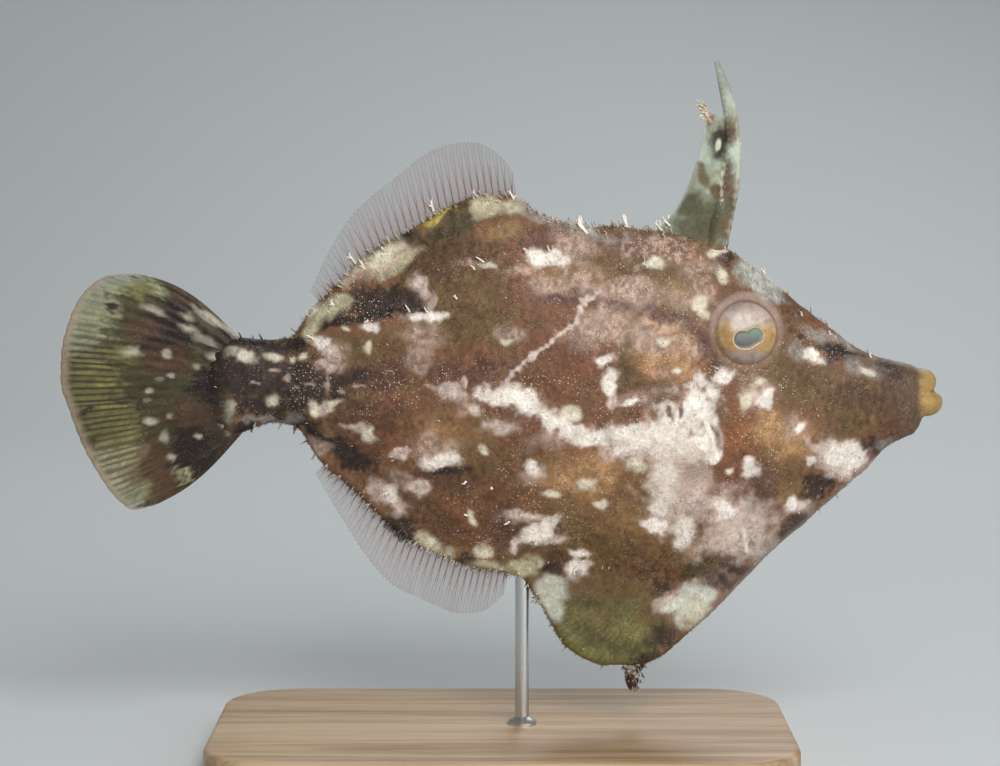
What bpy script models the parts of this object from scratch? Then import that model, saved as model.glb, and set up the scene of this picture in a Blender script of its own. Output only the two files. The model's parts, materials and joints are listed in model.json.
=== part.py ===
"""Fringed filefish at life size, held over a flat display base by one slim rod.

Metres, +Z up. The fish faces +X and its right flank faces -Y. The origin is the middle of the
base's underside. Shape lists are in millimetres from the fish's long axis, as (along, up).
"""

import math
import random

import bmesh
import bpy
from mathutils import Quaternion, Vector

MM = 0.001
UP = Vector((0, 0, 1))

# Driving sizes, in millimetres
AXIS_HEIGHT = 42.0
SEAM = 0.3
SLOPE_GAP = 1.4 * SEAM
STALK_END = -30.3
SNOUT_END = 48.0

# The outline of the back, from the tail stalk to the upper lip
BACK = [
    (-30.3, 6.5), (-27.0, 6.2), (-24.0, 6.4), (-21.8, 9.3), (-19.2, 11.6), (-14.8, 15.9),
    (-10.6, 18.3), (-5.5, 21.3), (-1.7, 22.4), (1.4, 22.3), (4.2, 20.4), (8.4, 19.3), (15.7, 18.8),
    (21.0, 17.9), (24.9, 16.7), (29.4, 13.7), (32.5, 11.2), (37.5, 7.3), (40.4, 5.2), (43.5, 4.0),
    (46.0, 3.5), (48.0, 2.8),
]
# The outline of the belly, which dips round the dewlap between the vent and the throat
BELLY = [
    (-30.3, -4.8), (-27.9, -3.7), (-25.6, -3.3), (-23.4, -3.8), (-21.0, -7.2), (-17.5, -10.2),
    (-13.2, -14.3), (-10.5, -16.6), (-6.9, -18.2), (-3.5, -19.6), (1.1, -20.6), (2.4, -21.3),
    (3.8, -23.2), (5.4, -25.9), (6.9, -28.4), (9.3, -30.4), (12.0, -31.2), (15.2, -31.2),
    (17.9, -30.4), (20.7, -28.0), (24.3, -24.7), (28.2, -20.7), (31.6, -17.3), (36.4, -13.1),
    (38.8, -10.9), (41.4, -8.6), (43.3, -6.4), (45.6, -5.1), (48.0, -4.0),
]
# The lower edge of the thick body, where the thin dewlap starts
KEEL = [(2.4, -21.3), (8.0, -22.4), (15.0, -23.2), (22.0, -23.0), (28.2, -20.7)]
# The height at which the body is widest, and its half width there
MIDDLE = [(-30.3, 0.8), (-15.0, 0.5), (0.0, -0.5), (15.0, -1.5), (27.0, -1.0), (48.0, -0.8)]
WIDTH = [
    (-30.3, 1.7), (-23.0, 2.3), (-15.0, 3.4), (-5.0, 4.8), (8.0, 5.9), (20.0, 6.2), (28.0, 5.7),
    (36.0, 4.3), (43.0, 3.2), (46.5, 2.7), (48.0, 2.2),
]
# How the section closes above and below: 0.5 is an ellipse and 1 a wedge
BACK_CLOSING = [(-30.3, 0.55), (-22.0, 0.7), (20.0, 0.75), (32.0, 0.65), (44.0, 0.5), (48.0, 0.5)]
BELLY_CLOSING = [(-30.3, 0.6), (-22.0, 0.8), (5.0, 1.0), (28.0, 1.0), (40.0, 0.7), (48.0, 0.5)]
BACK_POWER = 2.2
BELLY_POWER = 1.7
FLAP_HALF = 1.0
FLAP_ROUND = 0.9

# Where the body is parted into head, trunk, tail stalk and dewlap
GILL_CUT = [
    (14.7, 21.5), (15.6, 18.4), (19.5, 8.0), (23.3, -1.6), (24.6, -6.0), (26.2, -15.0), (27.2, -21.2),
]
DEWLAP_CUT = [
    (0.0, -22.6), (2.7, -21.7), (8.0, -22.4), (15.0, -23.1), (22.0, -22.9), (27.2, -21.2), (30.5, -19.2),
]
STALK_CUT = [(-22.9, -12.0), (-22.9, 14.0)]

EYE = (27.3, 7.35)
EYE_RADIUS = 3.8
EYE_DEPTH = 2.5
EYE_SINK = 1.4
LID = 0.6
LID_SUNK = 0.1
UPPER_LIP = ((47.4, 1.75), (1.8, 2.2, 1.55))
LOWER_LIP = ((47.9, -1.6), (2.25, 2.3, 1.9))
MOUTH = ((49.2, 0.12), (2.1, 2.6, 0.22), 8.0)
NOSTRILS = [(33.0, 6.9, 0.42), (34.1, 6.1, 0.34)]
GILL_SLIT = ((24.05, -3.3), (0.45, 1.1, 2.6), 16.0)

SPINE_FRONT = [
    (25.3, 16.8), (26.1, 20.1), (26.8, 24.2), (26.9, 27.6), (26.5, 31.6), (25.8, 34.2), (24.4, 37.7),
]
SPINE_RADII = [1.5, 1.25, 1.05, 0.95, 0.8, 0.65, 0.3]
SPINE_FLATNESS = 0.8
# Barbs: how many a row, the stretch that they cover, and the length and radius of each
SPINE_BARBS = 9
BARB_STRETCH = (0.3, 0.9)
SIDE_BARB = (0.75, 0.22)
FRONT_BARB = (0.4, 0.24)
BARB_SUNK = 0.35
WEB_REAR = [
    (15.9, 19.4), (17.6, 19.9), (19.2, 21.0), (20.5, 22.9), (21.6, 25.4), (22.4, 28.0), (22.9, 31.6),
]
WEB_FRONT = 21.9

# Each soft fin: where its root ends and starts, its height, and how far it leans back, in degrees
SOFT_RAYS = 30
FIN_HALF = 0.26
FIN_ROOT_SWELL = 0.12
RAY_HEIGHT = 0.15
FIN_SWAY = 0.5
FIN_WAVES = 1.6
DORSAL_ROOT = (-20.6, 1.6)
DORSAL_HEIGHT = [(-20.6, 1.6), (-17.5, 3.6), (-11.6, 6.0), (-6.5, 6.9), (-1.4, 5.9), (0.6, 4.4), (1.6, 2.6)]
DORSAL_LEAN = [(-20.6, 44.0), (-11.0, 16.0), (1.6, 6.0)]
ANAL_ROOT = (-20.2, 0.7)
ANAL_HEIGHT = [(-20.2, 1.5), (-16.5, 3.4), (-10.5, 5.6), (-5.0, 6.0), (-1.2, 4.9), (0.7, 2.4)]
ANAL_LEAN = [(-20.2, 44.0), (-10.0, 20.0), (0.7, 10.0)]

TAIL_ROOT = (6.1, -4.5)
TAIL_BULGE = (1.6, 1.1)
TAIL_MARGIN = [
    (-41.5, 13.7), (-44.4, 13.5), (-47.1, 11.9), (-49.0, 8.6), (-50.0, 4.5), (-50.1, 1.5), (-49.2, -1.8),
    (-47.9, -5.6), (-46.2, -8.9), (-44.0, -12.0), (-42.0, -13.3), (-39.7, -12.8),
]
TAIL_RAYS = 12
TAIL_ROOT_SWELL = 0.95
TAIL_EDGE_THINNING = 0.55
TAIL_RAY_HEIGHT = 0.13
TAIL_RAYS_BRANCH = 0.4

PECTORAL_ROOT = (22.6, -7.4)
PECTORAL_LENGTH = 7.6
PECTORAL_RAYS = 11
PECTORAL_ROOT_LENGTH = 3.0
PECTORAL_SPREAD = 34.0
PECTORAL_FLARE = 0.42
PECTORAL_STAND_OFF = SEAM + 0.35
PECTORAL_HALF = 0.27
PECTORAL_SWELL = 0.1
PECTORAL_RAY_HEIGHT = 0.11

# The stub at the tip of the pelvic bone: centre, half length along and half width, going down
TUFT = [
    (15.5, -31.2, 1.7, 0.8), (15.3, -32.2, 1.15, 0.7), (15.0, -33.2, 0.75, 0.5), (14.95, -34.2, 0.3, 0.25),
]
TUFT_BARBS = 10
TUFT_BARB = (0.95, 0.26)
TUFT_BARB_SUNK = 0.3
TUFT_CORE = (15.2, 0.55, 0.35)
TUFT_BARB_HEIGHTS = (-32.0, -33.6)

# The fringe of skin: cirri by region, as the number a side, along from and to, and length
CIRRUS_RADIUS = 0.32
CIRRUS_SUNK = 0.7
CIRRUS_BEND = 0.18
CIRRUS_WAIST = (0.45, 0.72)
BACK_FRINGE = (20, -20.0, 21.0, 1.5)
BELLY_FRINGE = (16, -20.0, 1.6, 1.7)
BROW_FRINGE = (5, 30.5, 42.0, 0.9)
THROAT_FRINGE = (6, 29.5, 42.5, 0.8)
# How the fringe's cirri stray, as a share of their spacing, and how deep under the edge they root
FRINGE_STRAY = 0.3
FRINGE_INSET = (0.9, 1.4)
FRINGE_SWEEP = (-0.7, -0.1)
FRINGE_SPREAD = 0.35
FRINGE_RISE = 0.5
FRINGE_LENGTHS = (0.7, 1.1)
# The larger cirri of each flank, over a stretch and a share of the body's height
FLANK_CIRRI = 13
FLANK_STRETCH = (-18.0, 15.0)
FLANK_BAND = (0.2, 0.8)
FLANK_STEP = 0.382
FLANK_STRAY = 0.15
FLANK_SWEEP = -0.8
FLANK_LIFT = (-0.3, 0.5)
FLANK_LENGTH = (0.9, 1.3)

BASE_SIZE = (66.0, 42.0, 4.0)
BASE_CORNER = 9.0
BASE_CHAMFER = 0.6
ROD_PLACE = 2.3
ROD_RADIUS = 0.8
ROD_TOP = -16.0
SOCKET_DEPTH = 2.4
CUTTER_REACH = 2.0
SHARP_ANGLE = 35.0


def curve_through(points):
    """A smooth height over x through points whose x rises, which never overshoots them."""
    xs = [x for x, _ in points]
    ys = [y for _, y in points]
    slopes = [(ys[i + 1] - ys[i]) / (xs[i + 1] - xs[i]) for i in range(len(xs) - 1)]
    tangents = [slopes[0]]
    for before, after in zip(slopes, slopes[1:]):
        tangents.append(2 * before * after / (before + after) if before * after > 0 else 0.0)
    tangents.append(slopes[-1])

    def height(x):
        x = min(max(x, xs[0]), xs[-1])
        i = max(k for k in range(len(xs) - 1) if xs[k] <= x)
        step = xs[i + 1] - xs[i]
        t = (x - xs[i]) / step
        return (
            ys[i] * (1 + 2 * t) * (1 - t) ** 2
            + ys[i + 1] * t * t * (3 - 2 * t)
            + step * (tangents[i] * t * (1 - t) ** 2 - tangents[i + 1] * t * t * (1 - t))
        )

    return height


def path_through(points):
    """A smooth point over 0 to 1 through points spaced by their distances."""
    places = [0.0]
    for a, b in zip(points, points[1:]):
        places.append(places[-1] + math.dist(a, b))
    along = [place / places[-1] for place in places]
    curves = [curve_through([(t, p[k]) for t, p in zip(along, points)]) for k in range(len(points[0]))]
    return lambda t: tuple(curve(t) for curve in curves)


back = curve_through(BACK)
belly = curve_through(BELLY)
keel = curve_through(KEEL)
middle = curve_through(MIDDLE)
width = curve_through(WIDTH)
back_closing = curve_through(BACK_CLOSING)
belly_closing = curve_through(BELLY_CLOSING)


def half_width(x, z):
    """The body's half width at a place inside its outline."""
    top, bottom, centre = back(x), belly(x), middle(x)
    if z >= centre:
        part = min((z - centre) / (top - centre), 1.0)
        core = width(x) * (1 - part**BACK_POWER) ** back_closing(x)
    else:
        floor = keel(x) if KEEL[0][0] < x < KEEL[-1][0] else bottom
        part = min((centre - z) / (centre - floor), 1.0)
        core = width(x) * (1 - part**BELLY_POWER) ** belly_closing(x)
    edge = max(min(z - bottom, top - z) / FLAP_ROUND, 0.0)
    flap = FLAP_HALF * math.sqrt(1 - (1 - min(edge, 1.0)) ** 2)
    return (core**3 + flap**3) ** (1 / 3)


def flank_point(x, z, side):
    """The point of the flank at a place, on the side whose sign is given."""
    return Vector((x, side * half_width(x, z), z))


def flank_normal(x, z, side):
    """The direction out of the flank at a place, on the side whose sign is given."""
    step = 0.4
    along = (half_width(x + step, z) - half_width(x - step, z)) / (2 * step)
    up = (half_width(x, z + step) - half_width(x, z - step)) / (2 * step)
    return Vector((-along, side, -up)).normalized()


def back_height(x, y):
    """The height of the back's surface beside its middle line."""
    low, high = middle(x), back(x)
    for _ in range(24):
        z = (low + high) / 2
        if half_width(x, z) > abs(y):
            low = z
        else:
            high = z
    return low


def placed(point):
    """A point in metres, from millimetres along, across and above the fish's axis."""
    x, y, z = point
    return Vector((x, y, z + AXIS_HEIGHT)) * MM


def material(name, colour, roughness, metallic=0.0):
    """A Principled material of one colour."""
    made = bpy.data.materials.new(name)
    made.use_nodes = True
    shader = made.node_tree.nodes["Principled BSDF"]
    shader.inputs["Base Color"].default_value = (*colour, 1.0)
    shader.inputs["Roughness"].default_value = roughness
    shader.inputs["Metallic"].default_value = metallic
    return made


def object_of(name, mesh, finish=None):
    """A mesh datablock as a named object in the scene."""
    made = bpy.data.objects.new(name, mesh)
    bpy.context.scene.collection.objects.link(made)
    if finish:
        made.data.materials.append(finish)
    return made


def mesh_object(name, points, faces, finish=None):
    """Points in metres and faces as an object, with its faces turned outwards."""
    mesh = bpy.data.meshes.new(name)
    mesh.from_pydata(points, [], faces)
    work = bmesh.new()
    work.from_mesh(mesh)
    bmesh.ops.recalc_face_normals(work, faces=work.faces)
    work.to_mesh(mesh)
    work.free()
    return object_of(name, mesh, finish)


def combine(body, pieces, operation):
    """Applies one Boolean of a body with all the pieces, and removes the pieces."""
    group = bpy.data.collections.new("pieces")
    bpy.context.scene.collection.children.link(group)
    for piece in pieces:
        group.objects.link(piece)
    modifier = body.modifiers.new("combine", "BOOLEAN")
    modifier.operation = operation
    modifier.operand_type = "COLLECTION"
    modifier.collection = group
    modifier.solver = "EXACT"
    bpy.context.view_layer.update()
    graph = bpy.context.evaluated_depsgraph_get()
    made = bpy.data.meshes.new_from_object(body.evaluated_get(graph))
    body.modifiers.clear()
    body.data = made
    for piece in pieces:
        bpy.data.objects.remove(piece)
    bpy.data.collections.remove(group)


def surfaces(work):
    """The vertex numbers of each connected surface of a bmesh, in the order of their first vertices."""
    seen, found = set(), []
    for start in work.verts:
        if start.index in seen:
            continue
        seen.add(start.index)
        reached, front = {start.index}, [start]
        while front:
            for edge in front.pop().link_edges:
                for vert in edge.verts:
                    if vert.index not in seen:
                        seen.add(vert.index)
                        reached.add(vert.index)
                        front.append(vert)
        found.append(reached)
    return found


def shells(body):
    """Each closed surface of an object as its own mesh, the largest first."""
    work = bmesh.new()
    work.from_mesh(body.data)
    parts = surfaces(work)
    work.free()
    made = []
    for keep in parts:
        work = bmesh.new()
        work.from_mesh(body.data)
        bmesh.ops.delete(work, geom=[v for v in work.verts if v.index not in keep], context="VERTS")
        mesh = bpy.data.meshes.new("shell")
        work.to_mesh(mesh)
        made.append((work.calc_volume(), mesh))
        work.free()
    return [mesh for _, mesh in sorted(made, key=lambda pair: -pair[0])]


def joined(body, additions, cuts=()):
    """Unites additions with a body, takes the cuts out, and keeps its largest surface."""
    finishes = list(body.data.materials)
    if additions:
        combine(body, additions, "UNION")
    if cuts:
        combine(body, cuts, "DIFFERENCE")
    body.data = shells(body)[0]
    body.data.materials.clear()
    for finish in finishes:
        body.data.materials.append(finish)
    for face in body.data.polygons:
        face.material_index = 0


def even(count):
    """Places from 0 to 1."""
    return [k / count for k in range(count + 1)]


def body_ring(x):
    """The closed ring of points round the body at one station."""
    top, bottom = back(x), belly(x)
    inner = 9
    rim = (0.0, 0.25, 0.8)
    low, high = bottom + rim[-1], top - rim[-1]
    heights = [bottom + d for d in rim]
    heights += [(low + high) / 2 - (high - low) / 2 * math.cos(math.pi * k / inner) for k in range(1, inner)]
    heights += [top - d for d in reversed(rim)]
    widths = [0.0] + [half_width(x, z) for z in heights[1:-1]] + [0.0]
    right = [placed((x, -w, z)) for w, z in zip(widths, heights)]
    left = [placed((x, w, z)) for w, z in zip(widths[1:-1], heights[1:-1])]
    return right + left[::-1]


def body_stations():
    """Places along the body, closer where the outline turns."""
    stops = [
        (STALK_END, 2.4), (-25.5, 1.2), (-18.0, 2.0), (0.0, 1.0), (16.0, 1.8), (40.0, 1.3), (SNOUT_END, 1.0),
    ]
    stations = []
    for (start, step), (end, _) in zip(stops, stops[1:]):
        count = round((end - start) / step)
        stations += [start + (end - start) * k / count for k in range(count)]
    return stations + [SNOUT_END]


def rings_object(name, rings, finish=None):
    """A closed body through rings of points in metres, with a flat cap at each end."""
    size = len(rings[0])
    points = [point for ring in rings for point in ring]
    faces = [tuple(range(size)), tuple(range(len(points) - size, len(points)))]
    for i in range(len(rings) - 1):
        for k in range(size):
            n = (k + 1) % size
            faces.append((i * size + k, i * size + n, (i + 1) * size + n, (i + 1) * size + k))
    return mesh_object(name, points, faces, finish)


def wall(line, thickness):
    """A cutter: a wall that stands on a line of the side view and runs right through the body."""
    sides = ([], [])
    for i, (x, z) in enumerate(line):
        before, after = line[max(i - 1, 0)], line[min(i + 1, len(line) - 1)]
        along = Vector((after[0] - before[0], after[1] - before[1])).normalized()
        across = Vector((-along.y, along.x)) * thickness / 2
        sides[0].append((x + across.x, z + across.y))
        sides[1].append((x - across.x, z - across.y))
    loop = sides[0] + sides[1][::-1]
    reach = 12.0
    points = [placed((x, y, z)) for y in (-reach, reach) for x, z in loop]
    size = len(loop)
    faces = []
    for i in range(len(line) - 1):
        for base in (0, size):
            faces.append((base + i, base + i + 1, base + size - 2 - i, base + size - 1 - i))
    for k in range(size):
        faces.append((k, (k + 1) % size, size + (k + 1) % size, size + k))
    return mesh_object("wall", points, faces)


def mesh_centre(mesh):
    """The mean place of a mesh's vertices."""
    return sum((vert.co for vert in mesh.vertices), Vector()) / len(mesh.vertices)


def parted_body(finish):
    """The body parted by thin cuts, as objects by node name."""
    body = rings_object("body", [body_ring(x) for x in body_stations()])
    combine(body, [wall(line, SEAM) for line in (GILL_CUT, DEWLAP_CUT, STALK_CUT)], "DIFFERENCE")
    parts = shells(body)[:4]
    bpy.data.objects.remove(body)
    stalk = min(parts, key=lambda mesh: mesh_centre(mesh).x)
    head = max(parts, key=lambda mesh: mesh_centre(mesh).x)
    dewlap = min(parts, key=lambda mesh: mesh_centre(mesh).z)
    trunk = next(mesh for mesh in parts if mesh not in (stalk, head, dewlap))
    named = {"head": head, "trunk": trunk, "tail_stalk": stalk, "dewlap": dewlap}
    return {name: object_of(name, mesh, finish) for name, mesh in named.items()}


def ellipsoid(name, centre, radii, turn=Quaternion(), segments=18, rings=10, finish=None):
    """A closed ellipsoid, in millimetres, turned by a rotation."""
    mesh = bpy.data.meshes.new(name)
    work = bmesh.new()
    bmesh.ops.create_uvsphere(work, u_segments=segments, v_segments=rings, radius=1.0)
    for vert in work.verts:
        local = Vector([c * r for c, r in zip(vert.co, radii)])
        vert.co = placed(turn @ local + Vector(centre))
    work.to_mesh(mesh)
    work.free()
    return object_of(name, mesh, finish)


def eye_frame(side):
    """The eye's centre and the rotation that turns +Z out of the flank, on one side."""
    out = flank_normal(*EYE, side)
    return flank_point(*EYE, side) - out * EYE_SINK, out.to_track_quat("Z", "Y")


def lid(side):
    """The raised ring of skin round an eye."""
    centre, turn = eye_frame(side)
    centre = centre + turn @ UP * (EYE_SINK + LID_SUNK)
    rounds, sides = 26, 7
    points, faces = [], []
    for i in range(rounds):
        around = 2 * math.pi * i / rounds
        for k in range(sides):
            lift = 2 * math.pi * k / sides
            reach = EYE_RADIUS - LID_SUNK + LID * math.cos(lift)
            local = Vector((reach * math.cos(around), reach * math.sin(around), LID * math.sin(lift)))
            points.append(placed(turn @ local + centre))
            n, m = (i + 1) % rounds, (k + 1) % sides
            faces.append((i * sides + k, n * sides + k, n * sides + m, i * sides + m))
    return mesh_object("lid", points, faces)


def vane(name, surface, half, columns, rows, normal=Vector((0, 1, 0)), finish=None):
    """A thin closed vane about a surface over (0 to 1, 0 to 1), split alike on both faces."""
    points = []
    for sign in (-1, 1):
        for r in rows:
            for a in columns:
                points.append(placed(Vector(surface(a, r)) + normal * sign * half(a, r)))
    wide, high = len(columns), len(rows)
    face = wide * high
    faces = []
    for j in range(high - 1):
        for i in range(wide - 1):
            a, b, c, d = j * wide + i, j * wide + i + 1, (j + 1) * wide + i + 1, (j + 1) * wide + i
            for base in (0, face):
                faces += [(base + a, base + b, base + c), (base + a, base + c, base + d)]
    rim = list(range(wide)) + [j * wide + wide - 1 for j in range(1, high)]
    rim += [(high - 1) * wide + i for i in range(wide - 2, -1, -1)]
    rim += [j * wide for j in range(high - 2, 0, -1)]
    for p, q in zip(rim, rim[1:] + rim[:1]):
        faces += [(p, q, face + q), (p, face + q, face + p)]
    return mesh_object(name, points, faces, finish)


def ridge(a, rays):
    """1 on a ray and 0 half way between two."""
    return 0.5 - 0.5 * math.cos(2 * math.pi * a * rays)


def soft_fin(name, outline, root, heights, lean, side, finish):
    """A soft fin along the back or the belly, with a ridge for each ray."""
    height, tilt = curve_through(heights), curve_through(lean)

    def surface(a, r):
        x = root[0] + (root[1] - root[0]) * a
        angle = math.radians(tilt(x))
        reach = SLOPE_GAP + height(x) * r
        sway = FIN_SWAY * r * math.sin(2 * math.pi * (FIN_WAVES * a + 0.15))
        return (x - math.sin(angle) * reach, sway, outline(x) + side * math.cos(angle) * reach)

    def half(a, r):
        return FIN_HALF + FIN_ROOT_SWELL * (1 - r) + RAY_HEIGHT * ridge(a, SOFT_RAYS) * (1 - 0.5 * r)

    return vane(name, surface, half, even(2 * SOFT_RAYS), even(4), finish=finish)


def tail_fin(finish):
    """The fan of the tail, whose rays spread and branch from the end of the stalk."""
    margin = path_through(TAIL_MARGIN)

    def surface(a, r):
        end = margin(a)
        outward = TAIL_BULGE[0] * max(1 - 2 * a, 0) - TAIL_BULGE[1] * max(2 * a - 1, 0)
        bulge = math.sin(math.pi * r) * outward
        root_z = TAIL_ROOT[0] + (TAIL_ROOT[1] - TAIL_ROOT[0]) * a
        root_x = STALK_END - SEAM
        return (root_x + (end[0] - root_x) * r, 0.0, root_z + (end[1] - root_z) * r + bulge)

    def half(a, r):
        edge = 1 - TAIL_EDGE_THINNING * abs(2 * a - 1) ** 3
        branched = min(max(2 * (r - TAIL_RAYS_BRANCH), 0.0), 1.0)
        rays = ridge(a, TAIL_RAYS) * (1 - branched) + ridge(a, 2 * TAIL_RAYS) * branched
        core = (FIN_HALF + TAIL_ROOT_SWELL * (1 - r) ** 1.6) * edge
        return core + TAIL_RAY_HEIGHT * rays * (1 - 0.4 * r)

    return vane("caudal_fin", surface, half, even(4 * TAIL_RAYS), even(6), finish=finish)


def pectoral_fin(name, side, finish):
    """A small fan that starts behind the gill slit and trails away from the flank."""
    out = flank_normal(*PECTORAL_ROOT, side)
    rearward = Vector((-1, 0, 0.12))
    trail = (rearward - out * rearward.dot(out) + out * PECTORAL_FLARE).normalized()
    upward = Vector((0.1, 0, 1))
    up = (upward - trail * trail.dot(upward)).normalized()
    facing = trail.cross(up).normalized()
    root = flank_point(*PECTORAL_ROOT, side) + out * PECTORAL_STAND_OFF

    def surface(a, r):
        turn = math.radians(PECTORAL_SPREAD * (1 - 2 * a))
        reach = PECTORAL_LENGTH * (0.82 + 0.18 * math.sin(math.pi * a))
        start = up * PECTORAL_ROOT_LENGTH * (0.5 - a)
        return root + start + (trail * math.cos(turn) + up * math.sin(turn)) * reach * r

    def half(a, r):
        return PECTORAL_HALF + PECTORAL_SWELL * (1 - r) + PECTORAL_RAY_HEIGHT * ridge(a, PECTORAL_RAYS)

    return vane(name, surface, half, even(2 * PECTORAL_RAYS), even(4), facing, finish)


def behind_spine(share):
    """Points of the dorsal spine set back from its front edge by a share of its thickness."""
    moved = []
    for i, ((x, z), radius) in enumerate(zip(SPINE_FRONT, SPINE_RADII)):
        before, after = SPINE_FRONT[max(i - 1, 0)], SPINE_FRONT[min(i + 1, len(SPINE_FRONT) - 1)]
        along = Vector((after[0] - before[0], after[1] - before[1])).normalized()
        moved.append((x - along.y * 2 * radius * share, z + along.x * 2 * radius * share))
    return moved


def dorsal_spine(finish):
    """The first dorsal spine, standing behind the eyes, with barbs down its sides and its front."""
    sides = 12
    axis = path_through(behind_spine(0.5))
    size = curve_through(list(zip(even(len(SPINE_RADII) - 1), SPINE_RADII)))
    rings = []
    for t in even(12):
        ahead, behind = axis(min(t + 0.02, 1)), axis(max(t - 0.02, 0))
        along = Vector((ahead[0] - behind[0], ahead[1] - behind[1])).normalized()
        ring = []
        for k in range(sides):
            angle = 2 * math.pi * k / sides
            front, across = size(t) * math.cos(angle), size(t) * SPINE_FLATNESS * math.sin(angle)
            x, z = axis(t)[0] + along.y * front, axis(t)[1] - along.x * front
            if t == 0:
                z = back_height(x, across) + SLOPE_GAP
            ring.append(placed((x, across, z)))
        rings.append(ring)
    spine = rings_object("dorsal_spine", rings, finish)
    barbs = []
    for share in even(SPINE_BARBS - 1):
        t = BARB_STRETCH[0] + (BARB_STRETCH[1] - BARB_STRETCH[0]) * share
        x, z = axis(t)
        for side in (-1, 1):
            root = Vector((x - 0.3 * size(t), side * 0.95 * SPINE_FLATNESS * size(t), z))
            barbs.append(cirrus(root, Vector((-0.25, side, -0.55)), *SIDE_BARB, BARB_SUNK))
        root = Vector((x + 0.98 * size(t), 0, z))
        barbs.append(cirrus(root, Vector((1, 0, -0.3)), *FRONT_BARB, BARB_SUNK))
    joined(spine, barbs)
    return spine


def spine_membrane(finish):
    """The web behind the dorsal spine, down to the back."""
    rear = path_through(WEB_REAR)
    front = curve_through([(z, x - 1.2 * SEAM) for x, z in behind_spine(1.0)])
    root, foot = WEB_REAR[0][0], back(WEB_FRONT) + SLOPE_GAP
    tip = WEB_REAR[-1][1]

    def surface(a, r):
        left = rear(r)
        right = foot + (tip - foot) * r
        x = left[0] + (front(right) - left[0]) * a
        z = left[1] + (right - left[1]) * a
        along = root + (front(foot) - root) * a
        sag = back(along) + SLOPE_GAP - (rear(0)[1] + (foot - rear(0)[1]) * a)
        return (x, 0.0, z + sag * (1 - r) ** 3)

    def half(a, r):
        return 0.3 + 0.12 * a

    return vane("spine_membrane", surface, half, even(6), even(8), finish=finish)


def cirrus(root, direction, length, radius, sunk=CIRRUS_SUNK):
    """A closed, tapered tag of skin from a root that starts sunk below the surface."""
    along = direction.normalized()
    turn = along.to_track_quat("Z", "Y")
    sides = 5
    bend = turn @ Vector((0, -CIRRUS_BEND * length, 0))
    points = []
    for place, share in ((-sunk, 1.0), (length * CIRRUS_WAIST[0], CIRRUS_WAIST[1])):
        for k in range(sides):
            angle = 2 * math.pi * k / sides
            local = Vector((radius * share * math.cos(angle), radius * share * math.sin(angle), place))
            points.append(placed(root + turn @ local))
    points.append(placed(root + along * length + bend))
    faces = [tuple(range(sides))]
    for k in range(sides):
        n = (k + 1) % sides
        faces += [(k, n, sides + n, sides + k), (sides + k, sides + n, 2 * sides)]
    return mesh_object("cirrus", points, faces)


def fringe(draw, region, outline, vertical):
    """Cirri on both sides of an edge of the body, pointing away from it and back."""
    count, start, end, length = region
    made = []
    for k in range(count):
        for side in (-1, 1):
            x = start + (end - start) * (k + 0.5 + draw.uniform(-FRINGE_STRAY, FRINGE_STRAY)) / count
            z = outline(x) - vertical * draw.uniform(*FRINGE_INSET)
            lean = Vector((draw.uniform(*FRINGE_SWEEP), FRINGE_SPREAD * side, FRINGE_RISE * vertical))
            reach = length * draw.uniform(*FRINGE_LENGTHS)
            direction = flank_normal(x, z, side) + lean
            made.append(cirrus(flank_point(x, z, side), direction, reach, CIRRUS_RADIUS))
    return made


def flank_cirri(draw):
    """A few larger cirri spread over both flanks of the trunk."""
    start, end = FLANK_STRETCH
    low, high = FLANK_BAND
    made = []
    for side in (-1, 1):
        for k in range(FLANK_CIRRI):
            x = start + (end - start) * (k + draw.random()) / FLANK_CIRRI
            share = low + (high - low) * ((k * FLANK_STEP + draw.uniform(0.0, FLANK_STRAY)) % 1.0)
            z = belly(x) + (back(x) - belly(x)) * share
            direction = flank_normal(x, z, side) + Vector((FLANK_SWEEP, 0, draw.uniform(*FLANK_LIFT)))
            length = draw.uniform(*FLANK_LENGTH)
            made.append(cirrus(flank_point(x, z, side), direction, length, CIRRUS_RADIUS))
    return made


def pelvic_tuft(draw, finish):
    """The rough stub at the tip of the pelvic bone, under the dewlap, with its barbs."""
    sides = 10
    rings = []
    for i, (x, z, long_half, wide_half) in enumerate(TUFT):
        ring = []
        for k in range(sides):
            angle = 2 * math.pi * k / sides
            px = x + long_half * math.cos(angle)
            pz = belly(px) - SLOPE_GAP if i == 0 else z
            ring.append(placed((px, wide_half * math.sin(angle), pz)))
        rings.append(ring)
    tuft = rings_object("pelvic_tuft", rings, finish)
    barbs = []
    core, core_long, core_wide = TUFT_CORE
    top, bottom = TUFT_BARB_HEIGHTS
    for k in range(TUFT_BARBS):
        angle = 2 * math.pi * (k + draw.uniform(0.0, 0.5)) / TUFT_BARBS
        level = top + (bottom - top) * k / TUFT_BARBS
        out = Vector((1.5 * math.cos(angle), math.sin(angle), -0.9))
        root = Vector((core + core_long * math.cos(angle), core_wide * math.sin(angle), level))
        barbs.append(cirrus(root, out, *TUFT_BARB, TUFT_BARB_SUNK))
    joined(tuft, barbs)
    return tuft


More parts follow.
